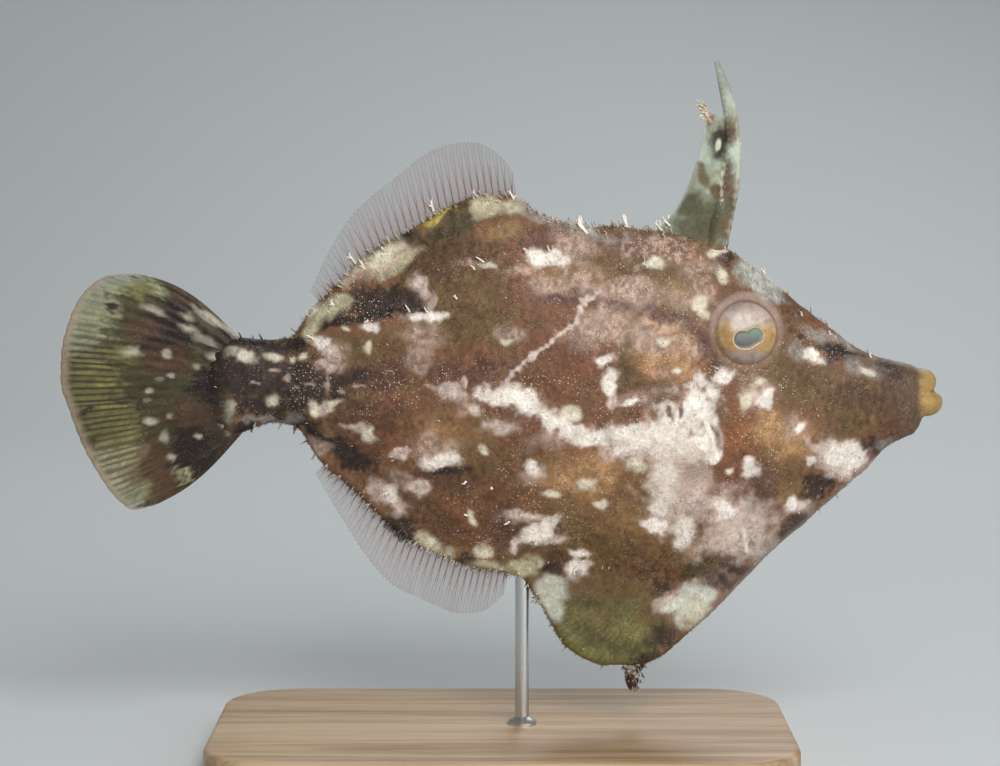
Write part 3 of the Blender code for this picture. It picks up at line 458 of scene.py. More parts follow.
BODY_LAYERS: tuple[Layer, ...] = (
    # Broad grounds
    Ovals(Tint.OLIVE, 0.85, 0.6, 0.4, 0.0, (
        (455, 262, 58, 36, 15), (472, 325, 58, 24), (372, 345, 38, 18), (590, 548, 70, 26, -8),
        (640, 552, 44, 20, -8), (694, 244, 34, 24), (600, 268, 40, 10), (624, 375, 20, 14),
        (505, 226, 22, 12), (866, 402, 40, 22), (822, 390, 52, 18, -24),
    )),
    Ovals(Tint.GOLD, 0.6, 0.7, 0.4, 0.0, (
        (580, 476, 60, 26, 8), (790, 440, 26, 24), (636, 520, 40, 20), (785, 490, 16, 9, 30),
        (448, 430, 40, 16, -10), (677, 292, 14, 9), (672, 345, 20, 26, 20), (575, 273, 36, 10),
        (500, 228, 18, 8),
    )),
    Ovals(Tint.RUST, 0.7, 0.6, 0.4, 0.0, (
        (656, 362, 12, 16), (700, 372, 10, 18), (742, 430, 18, 34), (690, 255, 14, 9),
        (590, 452, 30, 8, -10), (636, 425, 16, 5, 20),
    )),
    Ovals(Tint.ORANGE, 0.7, 0.7, 0.6, 0.3, (
        (672, 350, 30, 22, 20), (684, 366, 14, 20), (590, 476, 40, 16, 8), (800, 446, 20, 12),
        (660, 322, 34, 8, -12), (770, 428, 14, 20),
    )),
    Ovals(Tint.RED, 0.75, 0.6, 0.4, 0.0, (
        (455, 505, 44, 18, -30), (505, 498, 40, 18, 10), (470, 528, 40, 12, -20), (515, 246, 20, 9),
        (556, 366, 42, 26, 40), (744, 470, 20, 14),
    )),
    Ovals(Tint.MAROON, 0.75, 0.5, 0.5, 0.0, (
        (272, 378, 56, 18), (360, 380, 50, 14), (440, 372, 56, 11), (640, 246, 44, 13), (508, 524, 12, 24),
        (570, 298, 36, 8), (640, 312, 44, 8, -10), (640, 400, 22, 18, 40), (440, 478, 36, 10),
        (758, 490, 16, 18, -20), (700, 480, 16, 22), (706, 352, 12, 18, 10), (545, 240, 22, 10),
    )),
    Ovals(Tint.UMBER, 0.75, 0.5, 0.5, 0.0, (
        (440, 480, 40, 12, -8), (760, 500, 16, 16), (790, 308, 16, 12, -35), (893, 403, 30, 26),
        (552, 562, 20, 8), (430, 520, 46, 20, -35), (648, 572, 26, 12), (355, 452, 30, 18, -25),
        (726, 500, 12, 14), (345, 385, 24, 12), (250, 378, 30, 16), (362, 418, 44, 16),
        (448, 258, 46, 20, 15), (850, 396, 30, 10, -20),
    )),
    # Dark bars and blotches
    Ovals(Tint.WINE, 0.9, 0.5, 0.5, 0.0, (
        (258, 380, 56, 40), (308, 390, 30, 18), (345, 378, 30, 8), (396, 300, 40, 12),
        (842, 352, 17, 7, 18), (894, 369, 18, 8, 16),
    )),
    Ovals(Tint.DARK, 0.92, 0.4, 0.55, 0.0, (
        (266, 345, 46, 9), (268, 411, 46, 8), (312, 430, 22, 9, -40), (366, 301, 42, 12, 8),
        (335, 316, 14, 6, 30), (410, 234, 13, 6, 30), (350, 458, 34, 12, -30), (404, 528, 14, 13, -45),
        (464, 556, 14, 8, -15), (726, 574, 26, 14, 32), (792, 526, 20, 11, 40), (818, 488, 22, 11, 34),
        (868, 445, 10, 10, 30), (838, 353, 24, 7, -14), (894, 372, 18, 8, -14), (722, 262, 12, 8),
        (240, 375, 24, 22), (551, 572, 14, 6), (660, 590, 16, 9, 20), (446, 472, 18, 5), (517, 208, 6, 5),
    )),
    Ovals(Tint.DEEP_OLIVE, 0.85, 0.45, 0.5, 0.0, (
        (446, 226, 30, 9, 24), (466, 212, 14, 8, 15), (700, 566, 20, 8, 20),
    )),
    Lines(Tint.BLACK, 0.9, 0.5, 0.5, 0.0, (
        ((303, 334), (332, 321), (380, 312), (425, 307)), ((238, 430), (262, 422), (300, 424), (330, 442)),
        ((242, 344), (262, 342), (300, 346)),
    ), 4.0),
    Lines(Tint.MAROON, 0.85, 0.6, 0.5, 0.0, (
        ((548, 300), (604, 300), (640, 309), (668, 318), (700, 332), (706, 352)),
    ), 7.0),
    # Pale ground of the edges, shoulder, throat and veil, with a painted highlight low on the tail stalk
    Lines(Tint.STRAW, 0.85, 0.6, 0.4, 0.1, (
        ((346, 281), (362, 270), (380, 258), (402, 243)), ((302, 334), (320, 316), (342, 303)),
        ((422, 542), (434, 548), (444, 557)), ((468, 566), (500, 569), (536, 567)),
        ((380, 272), (400, 262), (412, 252)), ((476, 206), (496, 202), (516, 204)),
    ), 7.5),
    Lines(Tint.SHELL, 0.6, 0.7, 0.5, 0.2, (((350, 284), (370, 274), (393, 258), (410, 246)),), 7.0),
    Ovals(Tint.SHELL, 0.75, 0.55, 0.6, 0.3, (
        (418, 358, 14, 20), (420, 336, 20, 12), (542, 287, 14, 9), (618, 292, 54, 11, -4),
        (604, 328, 34, 18, 10), (650, 338, 30, 12, -25), (500, 427, 18, 9), (560, 438, 28, 10, 10),
        (576, 250, 22, 12, -5), (436, 446, 26, 10), (318, 446, 14, 8, -40), (404, 480, 20, 9, -30),
        (530, 480, 14, 8), (700, 268, 20, 9), (668, 480, 24, 30), (697, 484, 16, 22),
        (744, 530, 38, 30, 32), (796, 428, 12, 10), (754, 392, 14, 12), (510, 335, 12, 10),
        (338, 356, 8, 12), (325, 385, 3, 12), (640, 400, 22, 10, 20),
    )),
    Ovals(Tint.ROSE, 0.6, 0.6, 0.7, 0.6, (
        (625, 290, 50, 11, -5), (604, 326, 36, 16, 10), (660, 330, 26, 12, -10), (690, 348, 10, 16, 30),
        (650, 250, 52, 14, -4), (580, 246, 30, 12, -4), (516, 270, 26, 6), (575, 276, 32, 10),
        (668, 486, 22, 26), (700, 486, 20, 26, 10), (730, 505, 22, 18), (756, 396, 16, 14),
        (752, 400, 16, 14), (470, 404, 20, 8), (748, 375, 12, 5), (700, 296, 18, 18), (668, 368, 14, 8),
        (700, 545, 24, 10, 20), (480, 262, 16, 6),
    )),
    Ovals(Tint.PINK, 0.75, 0.6, 0.6, 0.15, (
        (672, 480, 24, 34), (668, 510, 20, 20), (700, 500, 14, 20), (736, 522, 26, 24, 32),
        (842, 460, 26, 16, -34), (720, 542, 22, 10, 32), (640, 452, 40, 12),
    )),
    Ovals(Tint.GREY, 0.8, 0.5, 0.5, 0.1, (
        (586, 232, 30, 6, -8), (545, 218, 24, 7, -24), (815, 334, 18, 8, -38), (862, 369, 20, 8, -14),
        (798, 352, 14, 7, -35), (884, 444, 12, 6), (840, 340, 22, 5, -32), (808, 508, 10, 7, 30),
        # The oval at 270, 422, low on the tail stalk, is a painted highlight
        (755, 545, 24, 16, 32), (270, 422, 26, 3),
    )),
    Ovals(Tint.ICE, 0.9, 0.4, 0.35, 0.1, (
        (762, 283, 28, 12, -37), (748, 272, 14, 8, -30), (582, 226, 18, 5, -12),
    )),
    # Cream and pink patches
    Ovals(Tint.PINK, 0.9, 0.35, 0.6, 0.25, (
        (456, 394, 12, 8), (467, 383, 4, 6), (420, 288, 12, 8, -40), (431, 298, 5, 8, -20),
        (636, 445, 38, 12, 4), (501, 427, 14, 7), (526, 518, 20, 6, -5), (743, 530, 28, 22, 32),
        (800, 504, 12, 8, 20), (838, 460, 26, 17, -34), (388, 496, 20, 10, -38), (668, 604, 15, 9, 20),
        (420, 485, 8, 7), (612, 406, 6, 9), (350, 428, 8, 4), (536, 470, 10, 8), (666, 478, 10, 9),
        (696, 494, 8, 6), (720, 508, 16, 10), (478, 408, 7, 5, -40), (396, 452, 11, 4, 5),
        (325, 408, 10, 7), (325, 367, 8, 5), (330, 354, 7, 6), (558, 534, 8, 6),
    ), halo=0.5),
    Ovals(Tint.SHELL, 0.85, 0.4, 0.4, 0.0, (
        (285, 379, 4, 3), (298, 386, 3, 2), (309, 382, 3, 2), (323, 384, 4, 3), (270, 372, 3, 2),
        (255, 386, 3, 2), (345, 391, 4, 2), (358, 389, 4, 2), (432, 391, 8, 3),
    )),
    Ovals(Tint.CREAM, 0.9, 0.55, 0.5, 0.1, (
        (384, 257, 18, 6, 34), (351, 273, 8, 4, 38), (314, 308, 8, 4, 36), (650, 268, 10, 5),
        (229, 356, 10, 5), (247, 358, 6, 5), (270, 357, 8, 5, -20), (292, 361, 5, 3), (304, 358, 5, 4),
        (275, 405, 6, 6, 30), (229, 414, 7, 12), (312, 408, 5, 7, 20), (334, 402, 7, 3, 10),
        (366, 432, 6, 7), (572, 412, 7, 8), (434, 548, 10, 4, -35), (486, 551, 7, 6), (472, 517, 5, 7, 10),
        (588, 484, 8, 5, 20), (602, 504, 6, 5), (634, 466, 6, 5), (716, 254, 7, 6), (745, 400, 7, 9, -25),
        (757, 383, 6, 4), (731, 472, 4, 4), (702, 306, 6, 9, 30), (868, 370, 6, 4), (681, 534, 14, 12),
        (484, 448, 5, 4), (486, 263, 7, 4), (668, 340, 8, 5), (676, 368, 6, 4), (505, 341, 5, 3),
        (720, 276, 8, 4, -20), (550, 498, 7, 4), (365, 350, 4, 6), (346, 328, 4, 3),
    ), halo=0.4),
    Ovals(Tint.WHITE, 0.96, 0.42, 0.6, 0.06, (
        (546, 257, 17, 7, -8), (423, 317, 20, 7, 3), (372, 326, 9, 5, -20), (320, 342, 12, 6, -25),
        (512, 397, 26, 11, -14), (528, 404, 20, 11, -30), (550, 417, 18, 12, -40), (577, 436, 20, 8, -32),
        (598, 443, 14, 7, -10), (650, 438, 38, 16, 4), (672, 426, 28, 22, 10), (696, 408, 20, 20, 10),
        (684, 446, 28, 16), (668, 470, 12, 16), (700, 384, 8, 10, 20), (846, 456, 16, 12, -34),
        (706, 436, 11, 18, -10), (713, 455, 6, 8, -20), (633, 405, 9, 4, 35), (603, 361, 8, 6, -10),
        (607, 384, 7, 10, -8), (440, 459, 18, 8, 10), (394, 496, 8, 9, -20), (535, 466, 6, 8),
        (536, 537, 20, 8, 24), (548, 524, 12, 6, 20), (580, 568, 11, 9, 30), (578, 551, 9, 4),
        (663, 493, 10, 10), (657, 508, 8, 8), (655, 525, 9, 6), (681, 534, 12, 11), (726, 512, 12, 8),
        (749, 541, 4, 9, 10), (833, 457, 5, 9), (723, 378, 9, 7, 20), (714, 396, 7, 10, 18),
        (766, 402, 8, 7), (799, 429, 6, 7), (752, 470, 8, 8), (812, 356, 8, 5, -20), (795, 501, 5, 7),
        (813, 459, 5, 5),
    ), halo=0.7),
    Lines(Tint.PINK, 0.9, 0.5, 0.25, 0.0, (
        ((510, 382), (525, 369), (538, 356), (556, 340), (575, 320), (600, 289)),
    ), 2.8, 9.0),
    Lines(Tint.YELLOW, 0.9, 0.45, 0.4, 0.1, (((426, 221), (438, 213), (451, 207)),), 4.5),
    Ovals(Tint.RED, 0.85, 0.4, 0.5, 0.0, (
        (632, 421, 12, 5, 35), (668, 410, 3, 7, 10), (680, 408, 2, 7), (490, 408, 9, 5, -10),
    )),
)

# Where the skin shows fine pale dots, which are partly painted glints of the scales
DOTS_AND_GLINTS: Layer = Ovals(Tint.WHITE, 1.0, 0.7, 0.5, 0.0, (
    (625, 290, 76, 26), (604, 328, 50, 26), (670, 345, 40, 34), (645, 248, 60, 22), (575, 250, 40, 24),
    (700, 298, 24, 30), (560, 275, 60, 14), (690, 490, 44, 44), (756, 395, 40, 36), (760, 445, 34, 34),
    (700, 380, 30, 24), (812, 345, 34, 22), (512, 270, 40, 12), (650, 430, 64, 34), (370, 385, 100, 30),
    (545, 400, 60, 30), (520, 520, 60, 40), (370, 300, 50, 20), (560, 480, 60, 40),
))

DEWLAP_LAYERS: tuple[Layer, ...] = (
    Ovals(Tint.MOSS, 0.9, 0.25, 0.15, 0.0, ((606, 630, 64, 46, -8),)),
    Ovals(Tint.LIME, 0.35, 0.7, 0.4, 0.0, (
        (576, 630, 14, 26, -40), (630, 628, 18, 14), (596, 656, 26, 8),
    )),
    Ovals(Tint.DEEP_OLIVE, 0.6, 0.6, 0.5, 0.0, (
        (600, 596, 34, 12), (590, 636, 18, 8, -30), (618, 648, 20, 8),
    )),
    Ovals(Tint.BARK, 0.75, 0.6, 0.5, 0.0, ((648, 614, 14, 12), (612, 590, 56, 12, -6))),
    Ovals(Tint.BARK, 0.4, 0.7, 0.6, 0.0, ((602, 622, 24, 12),)),
    Ovals(Tint.DARK, 0.8, 0.5, 0.5, 0.0, ((663, 638, 20, 13, 38), (646, 658, 14, 6, 20))),
    Ovals(Tint.MINT, 0.7, 0.4, 0.25, 0.0, ((554, 588, 17, 11, -8), (552, 602, 11, 20, 12))),
    Ovals(Tint.PINK, 0.7, 0.4, 0.7, 0.2, ((668, 603, 14, 10, 30),)),
    Ovals(Tint.MINT, 0.96, 0.28, 0.35, 0.1, ((694, 602, 24, 17, 36), (674, 606, 14, 6, 25)), halo=0.5),
    Ovals(Tint.STRAW, 0.5, 0.6, 0.3, 0.0, ((694, 616, 14, 12, 36),)),
    Ovals(Tint.DARK, 0.8, 0.5, 0.5, 0.0, ((556, 572, 16, 5, -6),)),
)

TAIL_LAYERS: tuple[Layer, ...] = (
    Ovals(Tint.PALE_LEAF, 0.92, 0.3, 0.5, 0.0, (
        (88, 318, 34, 38), (116, 290, 34, 18, 20), (154, 289, 20, 8, -28), (112, 470, 28, 34, -30),
        (132, 494, 20, 18), (183, 474, 11, 9, -40), (205, 455, 12, 4, 35),
    )),
    Ovals(Tint.LEAF, 0.8, 0.4, 0.7, 0.0, (
        (90, 388, 30, 30), (104, 425, 30, 22), (136, 292, 16, 12, 20), (122, 350, 20, 12),
        (100, 370, 24, 10),
    )),
    Ovals(Tint.YELLOW, 0.35, 0.5, 0.8, 0.0, (
        (104, 366, 10, 4), (104, 385, 12, 4), (108, 408, 12, 4), (86, 372, 8, 3),
    )),
    Ovals(Tint.DEEP_OLIVE, 0.85, 0.4, 0.9, 0.0, (
        (126, 301, 16, 5, -20), (118, 330, 14, 8), (112, 343, 12, 6), (140, 335, 22, 14),
    )),
    Ovals(Tint.BLACK, 0.95, 0.35, 0.5, 0.0, (
        (178, 321, 25, 30, 10), (160, 342, 22, 16), (194, 448, 26, 25, -38), (206, 466, 10, 8),
        (210, 385, 18, 22),
    )),
    Ovals(Tint.UMBER, 0.6, 0.4, 0.7, 0.0, (
        (145, 332, 18, 10), (155, 470, 18, 30, 20), (178, 298, 14, 6, -28), (190, 412, 22, 12),
        (166, 360, 24, 12),
    )),
)

TAIL_SPOTS: tuple[Layer, ...] = (
    Ovals(Tint.CREAM, 0.5, 0.8, 0.7, 0.1, (
        (188, 317, 6, 3, -30), (190, 329, 7, 4, -30), (220, 356, 12, 5, -10), (165, 436, 4, 6),
        (168, 353, 4, 3), (131, 352, 8, 4), (154, 311, 10, 3, -22), (228, 414, 6, 12), (198, 436, 3, 3),
        (172, 375, 3, 2), (150, 421, 6, 3), (172, 458, 4, 3), (212, 320, 20, 3, -36),
        (230, 330, 10, 4, -30), (198, 367, 4, 3), (148, 390, 3, 2), (170, 415, 3, 3),
    )),
    Ovals(Tint.GREY, 0.6, 0.5, 0.5, 0.0, (
        (205, 340, 14, 4, -20), (160, 378, 4, 2), (146, 400, 3, 2),
    )),
)

SPINE_LAYERS: tuple[Layer, ...] = (
    Ovals(Tint.SPINE_OLIVE, 0.9, 0.45, 0.15, 0.0, (
        (702, 226, 42, 26, 20), (690, 206, 18, 13, 40), (728, 208, 10, 14),
    )),
    Ovals(Tint.OLIVE, 0.85, 0.5, 0.4, 0.0, (
        (700, 252, 44, 14), (728, 230, 9, 12), (720, 190, 12, 8), (728, 128, 9, 10),
    )),
    Lines(Tint.OLIVE, 0.8, 0.6, 0.4, 0.0, (((701, 166), (703, 177), (710, 187), (722, 194)),), 4.0),
    Ovals(Tint.UMBER, 0.8, 0.6, 0.5, 0.0, ((730, 184, 8, 18), (730, 136, 6, 10))),
    Ovals(Tint.ICE, 0.6, 0.8, 0.3, 0.0, ((725, 92, 16, 26, -8),)),
    Ovals(Tint.BLACK, 0.95, 0.4, 0.25, 0.0, ((719, 142, 9, 16),)),
    Ovals(Tint.RUST, 0.6, 0.5, 0.5, 0.0, ((711, 120, 4, 6, -20),)),
    Ovals(Tint.CREAM, 0.85, 0.4, 0.3, 0.0, ((717, 145, 3, 6, -10),)),
    Lines(Tint.CREAM, 0.75, 0.5, 0.3, 0.0, (((724, 165), (722, 200)),), 1.5, 9.0),
    Lines(Tint.CREAM, 0.35, 0.6, 0.5, 0.0, (
        ((728, 240), (734, 205), (739, 170), (738, 135), (734, 104)),
    ), 2.0, 9.0),
    Lines(Tint.ICE, 0.9, 0.6, 0.3, 0.0, (((651, 224), (676, 204), (688, 182), (697, 150), (704, 120)),), 3.2),
)


@dataclass(frozen=True)
class Paint:
    """Lays three grounds and then markings over points of the fish."""

    ground: tuple[Tint, Tint, Tint]
    layers: tuple[Layer, ...]
    warp: float = 7.0
    seed: int = 11

    def seen(self, points: Array) -> Ground:
        """Places points in the photo, with uneven edges for the markings."""
        drift = [Grain(self.seed + k).layered(points, 2.4, 4) for k in (9, 13)]
        upright = points * np.array([1.0, 1.0, 0.7])
        fibre = Grain(self.seed + 21).layered(upright, 0.4, 2)
        wander = 0.6 * Grain(self.seed + 17).layered(points, 1.0, 2) + 0.5 * fibre
        return Ground(photo_place(points) + self.warp * np.stack(drift, axis=1), wander, fibre)

    def colours(self, points: Array, colour: Array | None = None) -> Array:
        """The colour of each point.

        Args:
            points: places in millimetres from the fish's axis, one a row.
            colour: colours to lay the markings on, instead of the grounds.

        Returns:
            Linear colours, one a row.
        """
        broad = Grain(self.seed).layered(points, 7.0, 3)
        fine = Grain(self.seed + 5).layered(points, 2.0, 3)
        seen = self.seen(points)
        if colour is None:
            first, second, third = (tint.colour for tint in self.ground)
            colour = filled(first, len(points))
            colour = mix(colour, second, smooth_step(0.0, 0.6, broad + 0.4 * fine) * 0.8)
            colour = mix(colour, third, smooth_step(0.0, 0.6, -broad + 0.4 * fine) * 0.7)
        uneven = (1 + 0.1 * fine + 0.1 * seen.fibre)[:, None]
        for layer in self.layers:
            shown, halo = layer.masks(seen)
            if layer.halo:
                colour = mix(colour, Tint.SHELL.colour * uneven, halo)
            colour = mix(colour, layer.tint.colour * uneven, shown)
        calm = 1 - 0.65 * smooth_step(0.25, 0.5, colour.mean(axis=1))
        return np.clip(colour * (1 + calm * (0.12 * seen.fibre + 0.06 * fine))[:, None], 0.002, 0.95)


TAIL_PAINT = Paint((Tint.DEEP_OLIVE, Tint.BLACK, Tint.DARK), TAIL_LAYERS, 3.0, 61)
SPOT_PAINT = Paint((Tint.CREAM,) * 3, TAIL_SPOTS, 1.5, 65)


def named_object(name: str, data: bpy.types.ID, finish: Material | None = None) -> Object:
    """Puts a mesh, light or camera in the scene under a name, with its material if any."""
    made = bpy.data.objects.new(name, data)
    bpy.context.scene.collection.objects.link(made)
    if finish:
        made.data.materials.append(finish)
    return made


def array_mesh(name: str, points: Array, faces: Sequence[Sequence[int]]) -> Mesh:
    """Makes a smooth mesh whose faces point outwards.

    Args:
        name: the mesh's name.
        points: places in metres, one a row.
        faces: the vertex numbers of each face.

    Returns:
        The mesh.
    """
    mesh = bpy.data.meshes.new(name)
    mesh.from_pydata(np.asarray(points, float).tolist(), [], [list(map(int, face)) for face in faces])
    work = bmesh.new()
    work.from_mesh(mesh)
    bmesh.ops.recalc_face_normals(work, faces=work.faces)
    work.to_mesh(mesh)
    work.free()
    mesh.shade_smooth()
    return mesh


def paint_mesh(mesh: Mesh, colours: Array, alpha: Array | float = 1.0) -> None:
    """Stores a linear colour for each vertex, and how solid it is."""
    layer = mesh.color_attributes.new(MARKING, "FLOAT_COLOR", "POINT")
    full = np.ones((len(mesh.vertices), 4))
    full[:, :3] = np.clip(colours, 0, 1)
    full[:, 3] = np.clip(alpha, 0, 1)
    layer.data.foreach_set("color", full.astype(np.float32).ravel())


def vertex_points(mesh: Mesh) -> Array:
    """The places of a mesh's vertices, one a row."""
    flat = np.zeros(len(mesh.vertices) * 3, np.float32)
    mesh.vertices.foreach_get("co", flat)
    return flat.reshape(-1, 3).astype(float)


def vertex_directions(mesh: Mesh) -> Array:
    """The outward directions at a mesh's vertices, one a row."""
    flat = np.zeros(len(mesh.vertices) * 3, np.float32)
    mesh.vertex_normals.foreach_get("vector", flat)
    return flat.reshape(-1, 3).astype(float)


def ring_faces(rings: int, size: int, caps: bool = True) -> list[tuple[int, ...]]:
    """The faces between rings of vertices, with closed ends where asked."""
    faces: list[tuple[int, ...]] = []
    for i in range(rings - 1):
        for k in range(size):
            n = (k + 1) % size
            faces.append((i * size + k, i * size + n, (i + 1) * size + n, (i + 1) * size + k))
    if caps:
        faces += [tuple(range(size)), tuple(range((rings - 1) * size, rings * size))]
    return faces


def grid(columns: int, rows: int, start: float = 0.0) -> tuple[Array, Array]:
    """Places across, from 0 to 1, and outward, from the start to 1, for every vertex of a sheet."""
    a, r = np.meshgrid(np.linspace(0, 1, columns), np.linspace(start, 1, rows))
    return a.ravel(), r.ravel()


def both_faces(middle: Array, half: Array, across: Sequence[float] = (0, 1, 0)) -> Array:
    """The points of both faces of a thin sheet, from its middle and its half thickness."""
    offset = np.outer(half, across)
    return np.concatenate([middle - offset, middle + offset])


def sheet_faces(wide: int, high: int) -> list[tuple[int, ...]]:
    """The faces of a thin closed sheet made of two grids, wide by high vertices each."""
    face = wide * high
    faces: list[tuple[int, ...]] = []
    for j in range(high - 1):
        for i in range(wide - 1):
            quad = (j * wide + i, j * wide + i + 1, (j + 1) * wide + i + 1, (j + 1) * wide + i)
            faces += [quad, tuple(face + v for v in quad)]
    rim = list(range(wide)) + [j * wide + wide - 1 for j in range(1, high)]
    rim += [(high - 1) * wide + i for i in range(wide - 2, -1, -1)]
    rim += [j * wide for j in range(high - 2, 0, -1)]
    return faces + [(p, q, face + q, face + p) for p, q in zip(rim, rim[1:] + rim[:1])]


def wire(tree: NodeTree, kind: str, inputs: dict | None = None, **settings: object) -> Node:
    """Adds a shader node, with sockets linked and values set.

    Args:
        tree: the tree that gets it.
        kind: the node's type, without its first words.
        inputs: sockets to link from, or values, by the input's name or number.
        settings: the node's own settings.

    Returns:
        The node.
    """
    node = tree.nodes.new("ShaderNode" + kind)
    for name, value in settings.items():
        setattr(node, name, value)
    for key, value in (inputs or {}).items():
        if isinstance(value, NodeSocket):
            tree.links.new(value, node.inputs[key])
        else:
            node.inputs[key].default_value = value
    return node


class NodeGroups:
    """The shader groups that several finishes share, each built once."""

    def __init__(self) -> None:
        """Starts with no group built."""
        self.made: dict[str, NodeTree] = {}

    def started(self, name: str, inputs: dict[str, object], outputs: Sequence[str]) -> tuple:
        """Starts a group with its sockets, colours where the value has four parts.

        Args:
            name: the group's name.
            inputs: socket values by name.
            outputs: the outputs, of which Colour is a colour and the others are numbers.

        Returns:
            The tree with its input and output sockets.
        """
        tree = bpy.data.node_groups.new(name, "ShaderNodeTree")
        for label, value in inputs.items():
            kind = "NodeSocketColor" if isinstance(value, tuple) else "NodeSocketFloat"
            tree.interface.new_socket(label, in_out="INPUT", socket_type=kind).default_value = value
        for label in outputs:
            kind = "NodeSocketColor" if label == "Colour" else "NodeSocketFloat"
            tree.interface.new_socket(label, in_out="OUTPUT", socket_type=kind)
        self.made[name] = tree
        return tree, tree.nodes.new("NodeGroupInput").outputs, tree.nodes.new("NodeGroupOutput").inputs

    def rise(self, tree: NodeTree, value: NodeSocket, low: float, high: float):
        """A smooth rise of a value from 0 to 1, or a fall where low is over high."""
        ends = {"Value": value, "From Min": low, "From Max": high}
        return wire(tree, "MapRange", ends, interpolation_type="SMOOTHSTEP").outputs[0]

    def times(self, tree: NodeTree, first: object, second: object) -> NodeSocket:
        """The product of two values, kept from 0 to 1."""
        return wire(tree, "Math", {0: first, 1: second}, operation="MULTIPLY", use_clamp=True).outputs[0]

    def velvet(self) -> NodeTree:
        """Fine pale bristles and flecks over a colour, with a height for the bump. The flecks are partly
        painted glints of the scales.
        """
        if "velvet" in self.made:
            return self.made["velvet"]
        tree, given, out = self.started("velvet", {
            "Colour": (0.5, 0.5, 0.5, 1.0), "Bristle": (0.8, 0.75, 0.65, 1.0), "Density": 0.5, "Flecks": 0.5,
        }, ("Colour", "Height"))
        place = wire(tree, "TexCoord").outputs["Object"]
        upright = wire(tree, "Mapping", {
            "Vector": place, "Rotation": (0.0, 0.24, 0.0), "Scale": (5600.0, 5600.0, 3200.0),
        }).outputs[0]
        bristle = wire(tree, "TexNoise", {"Vector": upright, "Scale": 1.0, "Detail": 2.0}).outputs[0]
        pebble = wire(tree, "TexNoise", {"Vector": place, "Scale": 3000.0, "Detail": 3.0}).outputs[0]
        clump = wire(tree, "TexNoise", {"Vector": place, "Scale": 380.0, "Detail": 3.0}).outputs[0]
        cells = wire(tree, "TexVoronoi", {"Vector": place, "Scale": 3900.0})
        picked = self.rise(tree, bristle, 0.52, 0.72)
        spread = self.rise(tree, clump, 0.36, 0.62)
        strokes = self.times(tree, self.times(tree, picked, spread), given["Density"])
        # Pale flecks, partly painted glints of the scales
        dot = self.rise(tree, cells.outputs["Distance"], 0.42, 0.12)
        number = wire(tree, "SeparateColor", {0: cells.outputs["Color"]}).outputs[0]
        chosen = self.rise(tree, number, 0.3, 0.85)
        flecks = self.times(tree, self.times(tree, dot, chosen), self.times(tree, spread, given["Flecks"]))
        shade = wire(tree, "MapRange", {
            "Value": pebble, "From Min": 0.3, "From Max": 0.7, "To Min": 0.88, "To Max": 1.12,
        }).outputs[0]
        worn = wire(tree, "VectorMath", {0: given["Colour"], "Scale": shade}, operation="SCALE").outputs[0]
        glow = wire(tree, "VectorMath", {0: worn, "Scale": 1.55}, operation="SCALE").outputs[0]
        stroked = wire(tree, "Mix", {0: strokes, 6: worn, 7: glow}, data_type="RGBA").outputs[2]
        flecked = wire(tree, "Mix", {0: flecks, 6: stroked, 7: given["Bristle"]}, data_type="RGBA").outputs[2]
        tree.links.new(flecked, out["Colour"])
        height = wire(tree, "Math", {0: bristle, 1: 0.8, 2: pebble}, operation="MULTIPLY_ADD").outputs[0]
        raised = wire(tree, "Math", {0: flecks, 1: 0.5, 2: height}, operation="MULTIPLY_ADD").outputs[0]
        tree.links.new(raised, out["Height"])
        return tree

    def wood_grain(self) -> NodeTree:
        """Long grain of a pale board, with a height for the bump."""
        if "wood_grain" in self.made:
            return self.made["wood_grain"]
        tree, given, out = self.started("wood_grain", {
            "Light": (0.6, 0.45, 0.28, 1.0), "Dark": (0.35, 0.22, 0.12, 1.0),
        }, ("Colour", "Height"))
        place = wire(tree, "TexCoord").outputs["Object"]
        long_grain = wire(tree, "Mapping", {"Vector": place, "Scale": (14.0, 260.0, 260.0)}).outputs[0]
        bands = wire(tree, "TexNoise", {"Vector": long_grain, "Scale": 1.0, "Detail": 5.0, "Distortion": 0.6})
        pores = wire(tree, "Mapping", {"Vector": place, "Scale": (120.0, 3400.0, 3400.0)}).outputs[0]
        fine = wire(tree, "TexNoise", {"Vector": pores, "Scale": 1.0, "Detail": 2.0}).outputs[0]
        both = wire(tree, "Math", {0: fine, 1: 0.4, 2: bands.outputs[0]}, operation="MULTIPLY_ADD").outputs[0]
        share = self.rise(tree, both, 0.5, 0.95)
        blend = wire(tree, "Mix", {0: share, 6: given["Light"], 7: given["Dark"]}, data_type="RGBA")
        tree.links.new(blend.outputs[2], out["Colour"])
        tree.links.new(both, out["Height"])
        return tree


GROUPS = NodeGroups()


def new_material(name: str) -> tuple[Material, NodeTree, Node]:
    """Starts a Principled material, and gives it with its tree and its shader node."""
    made = bpy.data.materials.new(name)
    made.use_nodes = True
    return made, made.node_tree, made.node_tree.nodes["Principled BSDF"]


def set_shader(tree: NodeTree, shader: Node, inputs: dict[str, object]) -> None:
    """Links or sets inputs of a shader by name."""
    for name, value in inputs.items():
        if isinstance(value, NodeSocket):
            tree.links.new(value, shader.inputs[name])
        else:
            shader.inputs[name].default_value = value


def bumped(tree: NodeTree, height: NodeSocket, strength: float, depth: float):
    """The normal of a height, whose depth is in metres."""
    return wire(tree, "Bump", {"Height": height, "Strength": strength, "Distance": depth}).outputs[0]


